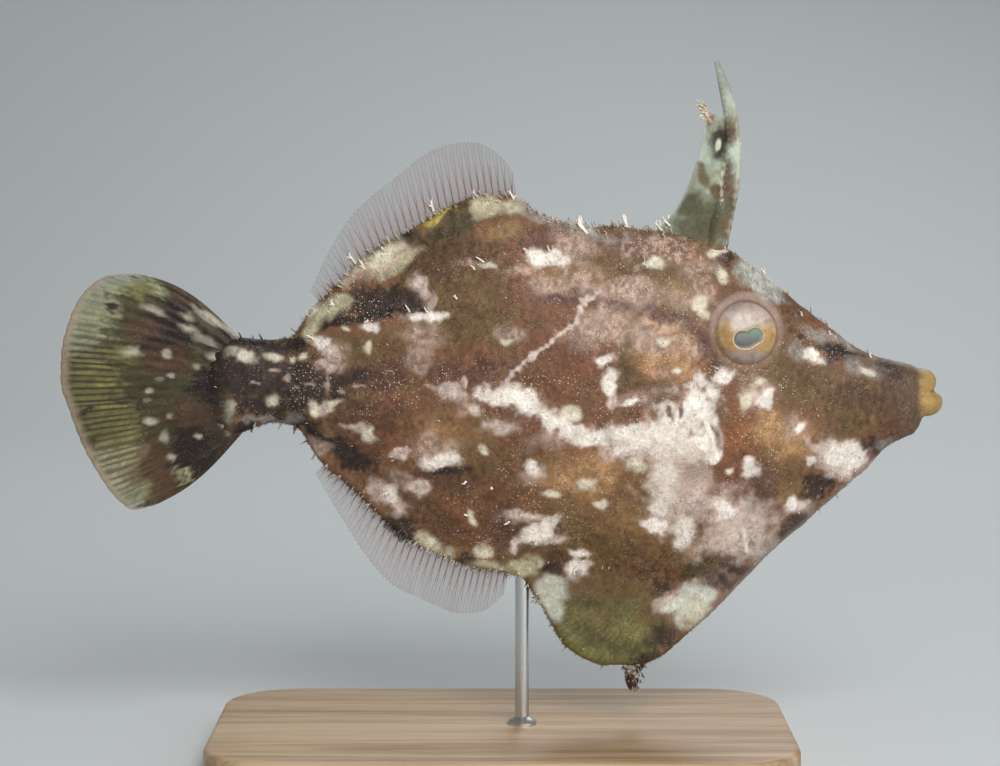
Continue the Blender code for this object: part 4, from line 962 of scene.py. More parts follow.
@dataclass(frozen=True)
class FleshFinish:
    """Painted skin with fine bristles over it."""

    name: str
    bristle: Tint = Tint.CREAM
    density: float = 0.35
    # How strong the pale flecks are; they are partly painted glints of the scales
    flecks: float = 0.75
    roughness: float = 0.55
    coat: float = 0.05
    depth: float = 0.00009
    dotted: bool = False
    see_through: bool = False

    def build(self) -> Material:
        """Makes the material, which reads the mesh's stored colours."""
        made, tree, shader = new_material(self.name)
        stored = wire(tree, "VertexColor", layer_name=MARKING)
        velvet = wire(tree, "Group", node_tree=GROUPS.velvet())
        tree.links.new(stored.outputs["Color"], velvet.inputs["Colour"])
        velvet.inputs["Bristle"].default_value = (*self.bristle.colour, 1.0)
        velvet.inputs["Density"].default_value = self.density
        velvet.inputs["Flecks"].default_value = self.flecks
        set_shader(tree, shader, {
            "Base Color": velvet.outputs["Colour"], "Roughness": self.roughness, "Coat Weight": self.coat,
            "Coat Roughness": 0.35, "Specular IOR Level": 0.25,
            "Normal": bumped(tree, velvet.outputs["Height"], 0.6, self.depth),
        })
        # The stored alpha places the pale flecks and painted glints
        if self.dotted:
            tree.links.new(stored.outputs["Alpha"], velvet.inputs["Flecks"])
        if self.see_through:
            tree.links.new(stored.outputs["Alpha"], shader.inputs["Alpha"])
        return made


@dataclass(frozen=True)
class GlossFinish:
    """A painted, wet surface such as an eye."""

    name: str

    def build(self) -> Material:
        """Makes the material."""
        made, tree, shader = new_material(self.name)
        stored = wire(tree, "VertexColor", layer_name=MARKING).outputs["Color"]
        place = wire(tree, "TexCoord").outputs["Object"]
        fibres = wire(tree, "TexNoise", {"Vector": place, "Scale": 3200.0, "Detail": 3.0}).outputs[0]
        shade = wire(tree, "MapRange", {"Value": fibres, "To Min": 0.78, "To Max": 1.22}).outputs[0]
        toned = wire(tree, "VectorMath", {0: stored, "Scale": shade}, operation="SCALE").outputs[0]
        set_shader(tree, shader, {
            "Base Color": toned, "Roughness": 0.45, "Coat Weight": 0.2, "Coat Roughness": 0.2,
        })
        return made


@dataclass(frozen=True)
class WoodFinish:
    """Satin pale wood."""

    name: str = "pale_wood"
    light: tuple[int, int, int] = (196, 170, 136)
    dark: tuple[int, int, int] = (150, 116, 82)

    def build(self) -> Material:
        """Makes the material."""
        made, tree, shader = new_material(self.name)
        grain = wire(tree, "Group", node_tree=GROUPS.wood_grain())
        grain.inputs["Light"].default_value = (*linear(self.light), 1.0)
        grain.inputs["Dark"].default_value = (*linear(self.dark), 1.0)
        set_shader(tree, shader, {
            "Base Color": grain.outputs["Colour"], "Roughness": 0.42,
            "Normal": bumped(tree, grain.outputs["Height"], 0.25, 0.00008),
        })
        return made


@dataclass(frozen=True)
class SteelFinish:
    """Satin steel, drawn along its length."""

    name: str = "satin_steel"

    def build(self) -> Material:
        """Makes the material."""
        made, tree, shader = new_material(self.name)
        place = wire(tree, "TexCoord").outputs["Object"]
        drawn = wire(tree, "Mapping", {"Vector": place, "Scale": (9000.0, 9000.0, 90.0)}).outputs[0]
        lines = wire(tree, "TexNoise", {"Vector": drawn, "Scale": 1.0}).outputs[0]
        rough = wire(tree, "MapRange", {"Value": lines, "To Min": 0.18, "To Max": 0.42}).outputs[0]
        set_shader(tree, shader, {
            "Base Color": (0.62, 0.62, 0.61, 1.0), "Metallic": 1.0, "Roughness": rough,
        })
        return made


@dataclass
class Skin:
    """One skin over head, trunk, tail stalk and dewlap, with lips, lids, gill slits and nostrils."""

    shape: FishShape
    eye: Pair = EYE
    voxel: float = 0.17
    station: float = 0.6
    rim_points: int = 34
    tail_cap: float = 4.5
    snout_cap: float = 1.5
    iris: float = 3.45
    lips: tuple = (
        ((47.25, 0.0, 1.4), (2.1, 2.2, 1.6)), ((47.4, 0.0, 0.4), (1.85, 2.1, 1.3)),
        ((47.8, 0.0, -0.95), (2.3, 2.3, 1.6)),
    )
    nostril_pixels: tuple = ((792, 329, 0.40), (801, 336, 0.34))
    slit_pixels: tuple[Pair, Pair] = ((709, 424), (717, 449))
    points: Array | None = None
    outward: Array | None = None
    tone: Array | None = None
    dots: Array | None = None

    def core(self) -> Object:
        """A temporary object of the smooth body and the lips."""
        shape = self.shape
        start = shape.ends[0] - self.tail_cap
        count = round((shape.ends[1] - start) / self.station)
        angle = np.linspace(0, math.pi, self.rim_points)
        rings = []
        for x in np.linspace(start + 0.05, shape.ends[1], count + 1):
            top, bottom = float(shape.back.at(x)), float(shape.belly.at(x))
            z = (top + bottom) / 2 - (top - bottom) / 2 * np.cos(angle)
            half = shape.half_width(np.full_like(z, x), z)
            half[0] = half[-1] = 0.0
            shrink = 1 - (max(shape.ends[0] - x, 0.0) / self.tail_cap) ** 2
            near = max(x - shape.ends[1] + self.snout_cap, 0.0) / self.snout_cap
            shrink *= math.sqrt(1 - 0.8 * near**2)
            z = (top + bottom) / 2 + (z - (top + bottom) / 2) * shrink
            right = np.stack([np.full_like(z, x), -half * shrink, z], axis=1)
            rings.append(np.concatenate([right, right[1:-1][::-1] * np.array([1, -1, 1])]))
        body = array_mesh("core", shape.placed(np.concatenate(rings)), ring_faces(len(rings), len(rings[0])))
        work = bmesh.new()
        work.from_mesh(body)
        for centre, radii in self.lips:
            ball = bmesh.ops.create_uvsphere(work, u_segments=32, v_segments=20, radius=1.0)
            for vert in ball["verts"]:
                vert.co = Vector(shape.placed(np.array(vert.co) * np.array(radii) + np.array(centre)))
        work.to_mesh(body)
        work.free()
        return named_object("core", body)

    def build(self, finish: Material) -> Object:
        """Makes the skin, and keeps its points and colours for the coat.

        Args:
            finish: its material.

        Returns:
            The skin.
        """
        core = self.core()
        remesh = core.modifiers.new("even", "REMESH")
        remesh.mode = "VOXEL"
        remesh.voxel_size = self.voxel * MM
        relax = core.modifiers.new("relax", "SMOOTH")
        relax.factor = 0.5
        relax.iterations = 6
        bpy.context.view_layer.update()
        graph = bpy.context.evaluated_depsgraph_get()
        mesh = bpy.data.meshes.new_from_object(core.evaluated_get(graph))
        bpy.data.objects.remove(core)
        mesh.name = "skin"
        points = self.shape.local(vertex_points(mesh))
        self.tone = self.colours(points)
        # Where the pale dots and painted glints show
        self.dots = 0.25 + 0.75 * DOTS_AND_GLINTS.masks(Paint((Tint.BROWN,) * 3, ()).seen(points))[0]
        points = points + vertex_directions(mesh) * self.relief(points)[:, None]
        mesh.vertices.foreach_set("co", self.shape.placed(points).astype(np.float32).ravel())
        mesh.update()
        paint_mesh(mesh, self.tone, self.dots)
        mesh.shade_smooth()
        mesh.materials.clear()
        self.points, self.outward = points, vertex_directions(mesh)
        return named_object("skin", mesh, finish)

    def from_eye(self, points: Array) -> Array:
        """The distance of each point from the nearer eye's axis, seen from the side."""
        return np.hypot(points[:, 0] - self.eye[0], (points[:, 2] - self.eye[1]) * 0.96)

    def from_slit(self, points: Array) -> tuple[Array, Array]:
        """How far points are in front of the gill slit's line, and their share along it."""
        a, b = (np.array(self.shape.seen_at(pixel)) for pixel in self.slit_pixels)
        length = np.linalg.norm(b - a)
        along = (b - a) / length
        flat = points[:, [0, 2]] - a
        share = flat @ along / length
        bend = 0.35 * np.sin(np.pi * np.clip(share, 0, 1))
        return flat @ np.array([-along[1], along[0]]) - bend, share

    def mouth_level(self, points: Array) -> Array:
        """How far points are over the line of the closed mouth."""
        return points[:, 2] - 0.5 + 0.1 * (49.2 - points[:, 0])

    def on_dewlap(self, points: Array) -> Array:
        """1 on the dewlap and 0 off it."""
        x = points[:, 0]
        shown = smooth_step(0.0, 3.0, self.shape.keel.at(x) - points[:, 2])
        return shown * smooth_step(2.0, 4.0, x) * (1 - smooth_step(24.0, 28.0, x))

    def dewlap_lines(self, points: Array) -> Array:
        """Waves from -1 to 1 that fan out over the dewlap."""
        spoke = np.arctan2(points[:, 2] + 18.0, points[:, 0] - 20.0) * 130
        return self.on_dewlap(points) * np.sin(spoke + 3 * Grain(6).at(points, 3.0))

    def relief(self, points: Array) -> Array:
        """How far the skin stands out from the smooth body, in millimetres."""
        x, z = points[:, 0], points[:, 2]
        lift = 0.09 * Grain(3).layered(points, 2.6, 3) + 0.03 * Grain(4).layered(points, 0.7, 2)
        whiteness = smooth_step(0.22, 0.5, self.tone.mean(axis=1))
        lift += whiteness * (0.04 + 0.02 * Grain(8).layered(points, 0.6, 2))
        eye = self.from_eye(points) - self.iris
        lift += 0.1 * hill(eye - 0.45, 0.5) - 0.03 * hill(eye - 1.05, 0.12)
        lift -= 1.4 * (1 - smooth_step(-0.5, 0.04, eye))
        across, share = self.from_slit(points)
        window = smooth_step(-0.35, 0.1, share) * (1 - smooth_step(0.9, 1.35, share))
        lift += window * (0.16 * hill(np.abs(across) - 0.5, 0.3) - 0.35 * hill(across, 0.2))
        for across_pixel, down, size in self.nostril_pixels:
            nx, nz = self.shape.seen_at((across_pixel, down))
            gap = np.hypot(x - nx, z - nz)
            lift += 0.1 * hill(gap - size * 1.5, size * 0.5) - 0.3 * hill(gap, size * 0.8)
        lift += 0.02 * self.dewlap_lines(points)
        top, bottom = self.shape.back.at(x), self.shape.belly.at(x)
        fin_base = smooth_step(-21.5, -19.0, x) * (1 - smooth_step(0.0, 2.0, x))
        lift += 0.2 * fin_base * hill(np.minimum(top - z, z - bottom), 0.9)
        return lift - 0.12 * smooth_step(46.0, 48.0, x) * hill(self.mouth_level(points), 0.2)

    def colours(self, points: Array) -> Array:
        """The skin's colour at each point."""
        colour = Paint((Tint.BROWN, Tint.OLIVE, Tint.RED), BODY_LAYERS).colours(points)
        colour = Paint((Tint.BROWN,) * 3, DEWLAP_LAYERS, 3.5).colours(points, colour)
        x, z = points[:, 0], points[:, 2]
        dim = smooth_step(0.4, 0.1, colour.mean(axis=1))
        colour = colour * (1 + 0.1 * dim * self.dewlap_lines(points))[:, None]
        belly = self.shape.belly.at(x)
        front_rim = hill(z - belly, 0.6) * smooth_step(21.0, 24.0, x) * (1 - smooth_step(40.0, 43.0, x))
        rear_rim = hill(z - belly, 0.35) * smooth_step(2.0, 5.0, x) * (1 - smooth_step(14.0, 18.0, x))
        colour = laid(colour, (Tint.GREY.value, 0.7 * front_rim), (Tint.LIME.value, 0.6 * rear_rim))
        colour = mix(colour, TAIL_PAINT.colours(points), 1 - smooth_step(-32.0, -29.4, x))
        colour = self.eye_colour(points, colour)
        across, share = self.from_slit(points)
        window = smooth_step(-0.15, 0.15, share) * (1 - smooth_step(0.85, 1.15, share))
        lip, slit = 0.5 * window * hill(across - 0.5, 0.3), 0.6 * window * hill(across, 0.14)
        colour = laid(colour, (Tint.PINK.value, lip), (Tint.MAROON.value, slit))
        for across_pixel, down, size in self.nostril_pixels:
            nx, nz = self.shape.seen_at((across_pixel, down))
            colour = mix(colour, Tint.DARK.colour, 0.7 * hill(np.hypot(x - nx, z - nz), size * 0.7))
        return self.mouth_colour(points, colour)

    def eye_colour(self, points: Array, colour: Array) -> Array:
        """Lays the pinkish clear ring of skin round the eye over the colours so far."""
        eye = self.from_eye(points) - self.iris
        height = smooth_step(-1.5, 2.0, points[:, 2] - self.eye[1])
        tone = mix(filled(linear((132, 105, 84)), len(points)), linear((170, 150, 140)), height)
        tone = tone * (1 + 0.2 * Grain(57).layered(points, 0.8, 3))[:, None]
        ring = smooth_step(-0.3, -0.1, eye) * (1 - smooth_step(0.5, 1.1, eye))
        return laid(
            mix(colour, tone, 0.55 * ring),
            ((104, 84, 70), 0.3 * hill(eye - 0.95, 0.1)),
            ((160, 136, 120), 1 - smooth_step(-0.2, 0.02, eye)),
        )

    def mouth_colour(self, points: Array, colour: Array) -> Array:
        """Lays the dull yellow lips, a painted highlight along the top of the snout and the dark line between
        them over the colours so far.
        """
        x = points[:, 0]
        tone = Tint.LIP.colour * (1 + 0.14 * Grain(53).layered(points, 0.7, 2))[:, None]
        colour = mix(colour, linear((88, 72, 56)), 0.7 * smooth_step(42.5, 46.5, x))
        start = 46.9 - 0.5 * Grain(51).layered(points, 2.0, 3)
        lip = smooth_step(0.0, 1.3, x - start) * smooth_step(-3.0, -2.0, points[:, 2])
        # Painted highlight along the top of the snout and upper lip
        upper = hill(self.shape.back.at(x) + 0.2 - points[:, 2], 0.5) * smooth_step(43.5, 45.5, x)
        line = smooth_step(48.1, 48.9, x) * hill(self.mouth_level(points), 0.14)
        return laid(
            mix(colour, tone, 0.92 * lip),
            ((166, 150, 128), 0.7 * upper * (1 - smooth_step(48.0, 49.2, x))),
            (Tint.DARK.value, 0.7 * line),
        )


@dataclass
class Tags:
    """Tapered tags of skin: one row a tag, in millimetres."""

    root: Array
    along: Array
    length: Array
    radius: Array
    bend: Array
    base: Array
    tip: Array

    def place(self, share: float) -> Array:
        """Points along the tags, from the roots at 0 to the tips at 1."""
        return self.root + units(self.along) * (self.length * share)[:, None] + self.bend * share**2

    def branch(self, draw: Draw, share: float, size: float, spread: float) -> Tags:
        """Side tags that leave these at a share of their length.

        Args:
            draw: the random source.
            share: where they leave, from 0 to 1.
            size: their length as a share of these tags' length.
            spread: how far they turn aside.

        Returns:
            The side tags.
        """
        count = len(self.root)
        along = units(self.along) + draw.normal(0, spread, (count, 3))
        length = self.length * draw.uniform(0.7, 1.2, count) * size
        return Tags(self.place(share), along, length, self.radius * 0.55, self.bend * 0.3, self.tip, self.tip)

    @staticmethod
    def joined(sets: Sequence[Tags]) -> Tags:
        """Several sets of tags as one."""
        names = ("root", "along", "length", "radius", "bend", "base", "tip")
        return Tags(*(np.concatenate([getattr(tags, name) for tags in sets]) for name in names))


@dataclass(frozen=True)
class Tufts:
    """Builds tags as one mesh, each with its patch of the bake map."""

    shape: FishShape
    sides: int = 3
    levels: int = 1
    flatness: float = 1.0

    def bake_place(self, roots: Array) -> Array:
        """Where roots lie on the skin opened out flat, belly to back on each flank."""
        x, y, z = roots.T
        low, high = self.shape.belly.at(x), self.shape.back.at(x)
        around = np.arccos(np.clip(1 - 2 * (z - low) / (high - low), -1, 1)) / math.pi
        start, end = self.shape.ends
        across = 0.02 + 0.96 * np.clip((x - start) / (end - start), 0, 1)
        return np.stack([across, np.where(y < 0, 0.01 + 0.48 * around, 0.51 + 0.48 * around)], axis=1)

    def build(self, name: str, tags: Tags, finish: Material) -> Object:
        """Makes the tags as one piece.

        Args:
            name: the piece's name.
            tags: the tags.
            finish: their material.

        Returns:
            The piece.
        """
        along = units(tags.along)
        helper = np.where(np.abs(along[:, 1:2]) < 0.9, [[0.0, 1.0, 0.0]], [[1.0, 0.0, 0.0]])
        first = units(np.cross(along, helper))
        second = np.cross(along, first) * self.flatness
        place = self.bake_place(tags.root)
        rows, shades, spots = [], [], []
        for level in range(self.levels):
            t = level / self.levels
            centre = tags.place(t)
            for k in range(self.sides):
                turn = 2 * math.pi * k / self.sides
                reach = (tags.radius * (1 - 0.55 * t))[:, None]
                rows.append(centre + reach * (first * math.cos(turn) + second * math.sin(turn)))
                shades.append(tags.base + (tags.tip - tags.base) * t)
                spots.append(place + TUFT_PATCH * (1 - t) * np.array([math.cos(turn), math.sin(turn)]))
        rows.append(tags.place(1.0))
        shades.append(tags.tip)
        spots.append(place)
        faces: list[tuple[int, ...]] = [tuple(range(self.sides))[::-1]]
        faces += ring_faces(self.levels, self.sides, False)
        per, last = self.levels * self.sides + 1, (self.levels - 1) * self.sides
        faces += [(last + k, last + (k + 1) % self.sides, per - 1) for k in range(self.sides)]
        every = [tuple(v + i * per for v in face) for i in range(len(along)) for face in faces]
        mesh = bpy.data.meshes.new(name)
        mesh.from_pydata(self.shape.placed(np.stack(rows, axis=1).reshape(-1, 3)).tolist(), [], every)
        mesh.shade_smooth()
        paint_mesh(mesh, np.stack(shades, axis=1).reshape(-1, 3))
        corners = np.zeros(len(mesh.loops), np.int32)
        mesh.loops.foreach_get("vertex_index", corners)
        spot = np.stack(spots, axis=1).reshape(-1, 2)[corners]
        mesh.uv_layers.new(name=BAKE_MAP).data.foreach_set("uv", spot.astype(np.float32).ravel())
        return named_object(name, mesh, finish)


@dataclass
class Coat:
    """The bristles and the fringe of cirri, rooted on the skin."""

    skin: Skin
    seed: int = 5
    bristles: int = 44000
    specks: int = 6000
    flecks: int = 1300
    edge_cirri: int = 460
    bare_eye: float = 4.4
    snout_start: float = 45.5
    named_cirri: tuple = (
        (590, 236, 2.4), (584, 232, 1.9), (628, 228, 1.3), (356, 264, 1.3), (335, 306, 1.2), (434, 212, 1.3),
        (480, 200, 1.2), (516, 201, 1.1), (486, 264, 1.0), (476, 272, 0.8), (458, 300, 0.8), (493, 302, 0.7),
        (496, 488, 0.9), (455, 496, 1.0), (467, 480, 0.8), (473, 518, 1.1), (512, 520, 1.2), (540, 536, 1.2),
        (662, 230, 1.1), (670, 226, 0.9), (434, 459, 1.1), (445, 465, 1.0), (316, 342, 1.1), (372, 322, 0.9),
        (530, 252, 1.0), (552, 254, 1.0), (648, 268, 0.9), (578, 566, 1.3), (590, 560, 1.1), (412, 316, 1.1),
        (432, 316, 1.0), (388, 258, 1.0), (366, 272, 1.0), (800, 428, 0.5), (722, 372, 0.7), (390, 492, 1.0),
        (765, 273, 0.6), (803, 317, 0.6), (832, 335, 0.5), (872, 358, 0.5), (878, 428, 0.6),
    )

    def build(self, finish: Material) -> list[Object]:
        """Makes the bristles, the small cirri, the fringe and the named cirri.

        Args:
            finish: their material.

        Returns:
            The pieces.
        """
        draw = np.random.default_rng(self.seed)
        points = self.skin.points
        clear = (self.skin.from_eye(points) > self.bare_eye) & (points[:, 0] < self.snout_start)
        shape = self.skin.shape
        return [
            Tufts(shape).build("skin_bristles", self.bristle_tags(draw, clear), finish),
            Tufts(shape).build("skin_specks", self.speck_tags(draw, clear), finish),
            Tufts(shape, 4, 3, 0.45).build("flank_cirri", self.fleck_tags(draw, clear), finish),
            Tufts(shape, 4, 3, 0.45).build("edge_fringe", self.edge_tags(draw, clear), finish),
            Tufts(shape, 5, 4, 0.4).build("large_cirri", self.large_tags(draw), finish),
        ]

    def chosen(self, draw: Draw, count: int, weight: Array) -> tuple:
        """Random roots on the skin.

        Args:
            draw: the random source.
            count: how many.
            weight: how likely each vertex is.

        Returns:
            The roots with their outward directions and colours.
        """
        picked = draw.choice(len(weight), size=count, p=weight / weight.sum())
        return self.skin.points[picked], self.skin.outward[picked], self.skin.tone[picked]

    def lie(self, points: Array) -> Array:
        """The way the coat lies: back along the body, and up on the back or down on the belly."""
        x, z = points[:, 0], points[:, 2]
        top, bottom = self.skin.shape.back.at(x), self.skin.shape.belly.at(x)
        height = 2 * (z - bottom) / (top - bottom) - 1
        return np.stack([np.full(len(points), -0.55), np.zeros(len(points)), 0.3 + 0.7 * height], axis=1)

    def rooted(self, draw: Draw, count: int, weight: Array, rise: float, stray: float) -> tuple:
        """Random roots with directions, colours, and tags that rise from the lie and stray at random."""
        root, out, base = self.chosen(draw, count, weight)
        return root, out, base, out * rise + self.lie(root) + draw.normal(0, stray, root.shape)

    def whiteness(self) -> Array:
        """1 where the skin is pale and 0 where it is dark."""
        return smooth_step(0.2, 0.45, self.skin.tone.mean(axis=1))

    def bristle_tags(self, draw: Draw, clear: Array) -> Tags:
        """The short bristles that cover the flanks."""
        points = self.skin.points
        patchy = 0.3 + smooth_step(-0.3, 0.5, Grain(71).layered(points, 2.5, 2))
        smooth_rim = 1 - 0.9 * hill(self.edge_gap(points), 0.8) * smooth_step(18.0, 24.0, points[:, 0])
        root, out, base, along = self.rooted(draw, self.bristles, clear * patchy * smooth_rim, 0.75, 0.25)
        count = len(root)
        length = draw.uniform(0.16, 0.34, count)
        light = base * draw.uniform(1.05, 1.45, (count, 1)) + 0.008
        return Tags(root - out * 0.05, along, length + 0.05, np.full(count, 0.038), along * 0, base, light)

    def edge_gap(self, points: Array) -> Array:
        """How far points are inside the outline of back and belly."""
        x, z = points[:, 0], points[:, 2]
        return np.minimum(self.skin.shape.back.at(x) - z, z - self.skin.shape.belly.at(x))

    def speck_tags(self, draw: Draw, clear: Array) -> Tags:
        """The short pale-tipped tags of the dotted grounds and the pale patches."""
        dotted = smooth_step(0.35, 0.9, self.skin.dots)
        weight = clear * (0.015 + dotted + 1.5 * self.whiteness())
        root, out, base, along = self.rooted(draw, self.specks, weight, 0.8, 0.4)
        count = len(root)
        whiter = draw.uniform(0.2, 1.0, (count, 1))
        pale = Tint.SHELL.colour + (Tint.WHITE.colour - Tint.SHELL.colour) * whiter
        pale = base + (pale - base) * (0.45 + 0.55 * np.clip(2.5 * base.mean(axis=1), 0, 1))[:, None]
        radius = draw.uniform(0.05, 0.09, count)
        start = base + (pale - base) * 0.3
        return Tags(root - out * 0.06, along, draw.uniform(0.2, 0.36, count), radius, along * 0, start, pale)

    def fleck_tags(self, draw: Draw, clear: Array) -> Tags:
        """The small pale cirri, thickest over the pale patches."""
        clustered = smooth_step(0.0, 0.7, Grain(73).layered(self.skin.points, 1.6, 2))
        weight = clear * (0.03 + 0.1 * clustered + 2.0 * self.whiteness())
        root, out, base, along = self.rooted(draw, self.flecks, weight, 0.8, 0.4)
        count = len(root)
        length = draw.uniform(0.2, 0.45, count)
        pale = Tint.WHITE.colour * draw.uniform(0.8, 1.08, (count, 1))
        bend = (self.lie(root) + draw.normal(0, 0.4, root.shape)) * (0.4 * length)[:, None]
        radius = draw.uniform(0.05, 0.08, count)
        main = Tags(root - out * 0.1, along, length + 0.1, radius, bend, base + (pale - base) * 0.55, pale)
        return Tags.joined([main, main.branch(draw, 0.5, 0.5, 0.6)])

    def edge_tags(self, draw: Draw, clear: Array) -> Tags:
        """The fringe along the back and the belly, with side branches."""
        points, out = self.skin.points, self.skin.outward
        x, z = points[:, 0], points[:, 2]
        near = hill(self.edge_gap(points), 0.8) * (np.abs(out[:, 0]) < 0.9)
        near *= (1 - 0.85 * smooth_step(19.0, 22.0, x)) * (1 - 0.6 * smooth_step(-18.0, -21.0, x))
        smooth_front = 1 - 0.88 * smooth_step(2.0, 6.0, x) * smooth_step(5.0, -5.0, z)
        lobes = 1 + 1.6 * smooth_step(-3.0, -6.0, z) * smooth_step(0.09, 0.04, self.skin.tone.mean(axis=1))
        lobes *= 1 - 0.7 * smooth_step(-22.0, -25.0, x)
        root, out, base = self.chosen(draw, self.edge_cirri, clear * near * smooth_front * lobes)
        count = len(root)
        lean = np.stack([np.full(count, -0.6), np.zeros(count), 0.7 * np.sign(root[:, 2])], axis=1)
        along = out * 0.9 + lean + draw.normal(0, 0.3, root.shape)
        length = draw.uniform(0.25, 0.8, count)
        pale = Tint.CREAM.colour * draw.uniform(0.75, 1.1, (count, 1))
        dark = smooth_step(0.12, 0.04, base.mean(axis=1))[:, None]
        tip = base * 1.15 + (pale - base * 1.15) * (0.8 - 0.65 * dark)
        bend = lean * (0.3 * length)[:, None]
        main = Tags(root - out * 0.2, along, length + 0.2, draw.uniform(0.09, 0.15, count), bend, base, tip)
        return Tags.joined([main, main.branch(draw, 0.45, 0.5, 0.5), main.branch(draw, 0.7, 0.4, 0.5)])

    def large_tags(self, draw: Draw) -> Tags:
        """The larger branched cirri that the photo shows, the same on both flanks."""
        rows = []
        for across, down, length in self.named_cirri:
            place = self.skin.shape.seen_at((across, down))
            for side in Side:
                point, out = self.skin.shape.flank(place, side)
                rows.append((*point, *out, length))
        table = np.array(rows)
        root, out, length = table[:, :3], table[:, 3:6], table[:, 6]
        count = len(table)
        along = out * 0.4 + self.lie(root) * 1.1 + draw.normal(0, 0.3, (count, 3))
        bend = (self.lie(root) + draw.normal(0, 0.5, root.shape)) * (0.45 * length)[:, None]
        pale = Tint.WHITE.colour * draw.uniform(0.9, 1.1, (count, 1))
        length = 0.55 * length
        main = Tags(root - out * 0.25, along, length + 0.25, 0.16 + 0.08 * length, bend, pale * 0.75, pale)
        sides = [main.branch(draw, share, 0.5, 0.7) for share in (0.35, 0.5, 0.65, 0.8)]
        return Tags.joined([main, *sides, *(tags.branch(draw, 0.6, 0.5, 0.6) for tags in sides[:2])])


def rods_mesh(
    name: str, shape: FishShape, lines: Sequence[Array], radii: Sequence[Array], sides: int = 6
) -> Mesh:
    """Makes thin upright rods as one mesh.

    Args:
        name: the mesh's name.
        shape: the body whose millimetres they are in.
        lines: the middle points of each rod.
        radii: its radius at each point.
        sides: how many sides each has.

    Returns:
        The mesh.
    """
    points, faces = [], []
    turn = 2 * np.pi * np.arange(sides) / sides
    ring = np.stack([np.cos(turn), np.sin(turn), np.zeros(sides)], axis=1)
    for line, radius in zip(lines, radii):
        start = sum(len(rod) for rod in points)
        points.append((line[:, None, :] + radius[:, None, None] * ring[None, :, :]).reshape(-1, 3))
        faces += [tuple(v + start for v in face) for face in ring_faces(len(line), sides)]
    return array_mesh(name, shape.placed(np.concatenate(points)), faces)


@dataclass
class SoftFin:
    """A clear soft fin of the back or the belly, with its rays."""

    name: str
    node: str
    shape: FishShape
    outline: Curve
    root: Pair
    height: Curve
    lean: Curve
    upward: int
    gap: float = 0.1
    rays: int = 30
    columns: int = 240
    rows: int = 18

    def surface(self, a: Array, r: Array) -> Array:
        """Points of the fin's middle sheet.

        Args:
            a: places along the root, from 0 behind to 1 in front.
            r: places from root to margin.

        Returns:
            Points in millimetres, one a row.
        """
        x = self.root[0] + (self.root[1] - self.root[0]) * a
        angle = np.radians(self.lean.at(x))
        notch = 0.02 * (1 - np.cos(4 * np.pi * a * self.rays)) * smooth_step(0.75, 1.0, r)
        reach = self.gap + self.height.at(x) * r * (1 - notch)
        sway = 0.5 * r * np.sin(2 * np.pi * (1.6 * a + 0.15)) + 0.05 * r * np.sin(2 * np.pi * a * self.rays)
        up = self.outline.at(x) + self.upward * np.cos(angle) * reach
        return np.stack([x - np.sin(angle) * reach, sway, up], axis=1)

    def build(self, finish: Material) -> list[Object]:
        """Makes the membrane and its rays.

        Args:
            finish: their material.

        Returns:
            The pieces, the first of which replaces the solid.
        """
        a, r = grid(self.columns, self.rows, -0.1)
        points = both_faces(self.surface(a, r), 0.035 + 0.05 * (1 - np.clip(r, 0, 1)))
        mesh = array_mesh(self.name, self.shape.placed(points), sheet_faces(self.columns, self.rows))
        tone = Grain(81).layered(points * np.array([1.0, 1.0, 0.3]), 1.0, 2)
        share = np.tile(np.clip(r, 0, 1), 2)
        solid = 0.15 + 0.3 * (1 - share) ** 3 + 0.05 * smooth_step(0.94, 1.0, share) + 0.06 * tone
        paint_mesh(mesh, linear((146, 126, 126)) * (1 + 0.2 * tone[:, None]), solid)
        sheet = named_object(self.name, mesh, finish)
        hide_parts(self.node)
        return [sheet, self.ray_piece(finish)]

    def ray_piece(self, finish: Material) -> Object:
        """Makes the rays, each a pair of fine rods that part towards the margin."""
        steps, sides = 14, 6
        r = np.linspace(-0.1, 0.985, steps)
        lines, radii = [], []
        for k in range(self.rays):
            for way in (-1, 1):
                spread = 0.02 + 0.23 * smooth_step(0.1, 0.85, r)
                lines.append(self.surface((k + 0.5 + way * spread) / self.rays, r))
                radii.append(0.06 - 0.04 * np.clip(r, 0, 1))
        mesh = rods_mesh(self.name + "_rays", self.shape, lines, radii, sides)
        joints = np.tile(np.repeat(np.clip(r, 0, 1), sides), 2 * self.rays)
        foot = filled(linear((122, 92, 84)), len(joints))
        paint_mesh(mesh, mix(foot, linear((150, 124, 122)), joints), 0.55 - 0.35 * joints)
        return named_object(self.name + "_rays", mesh, finish)


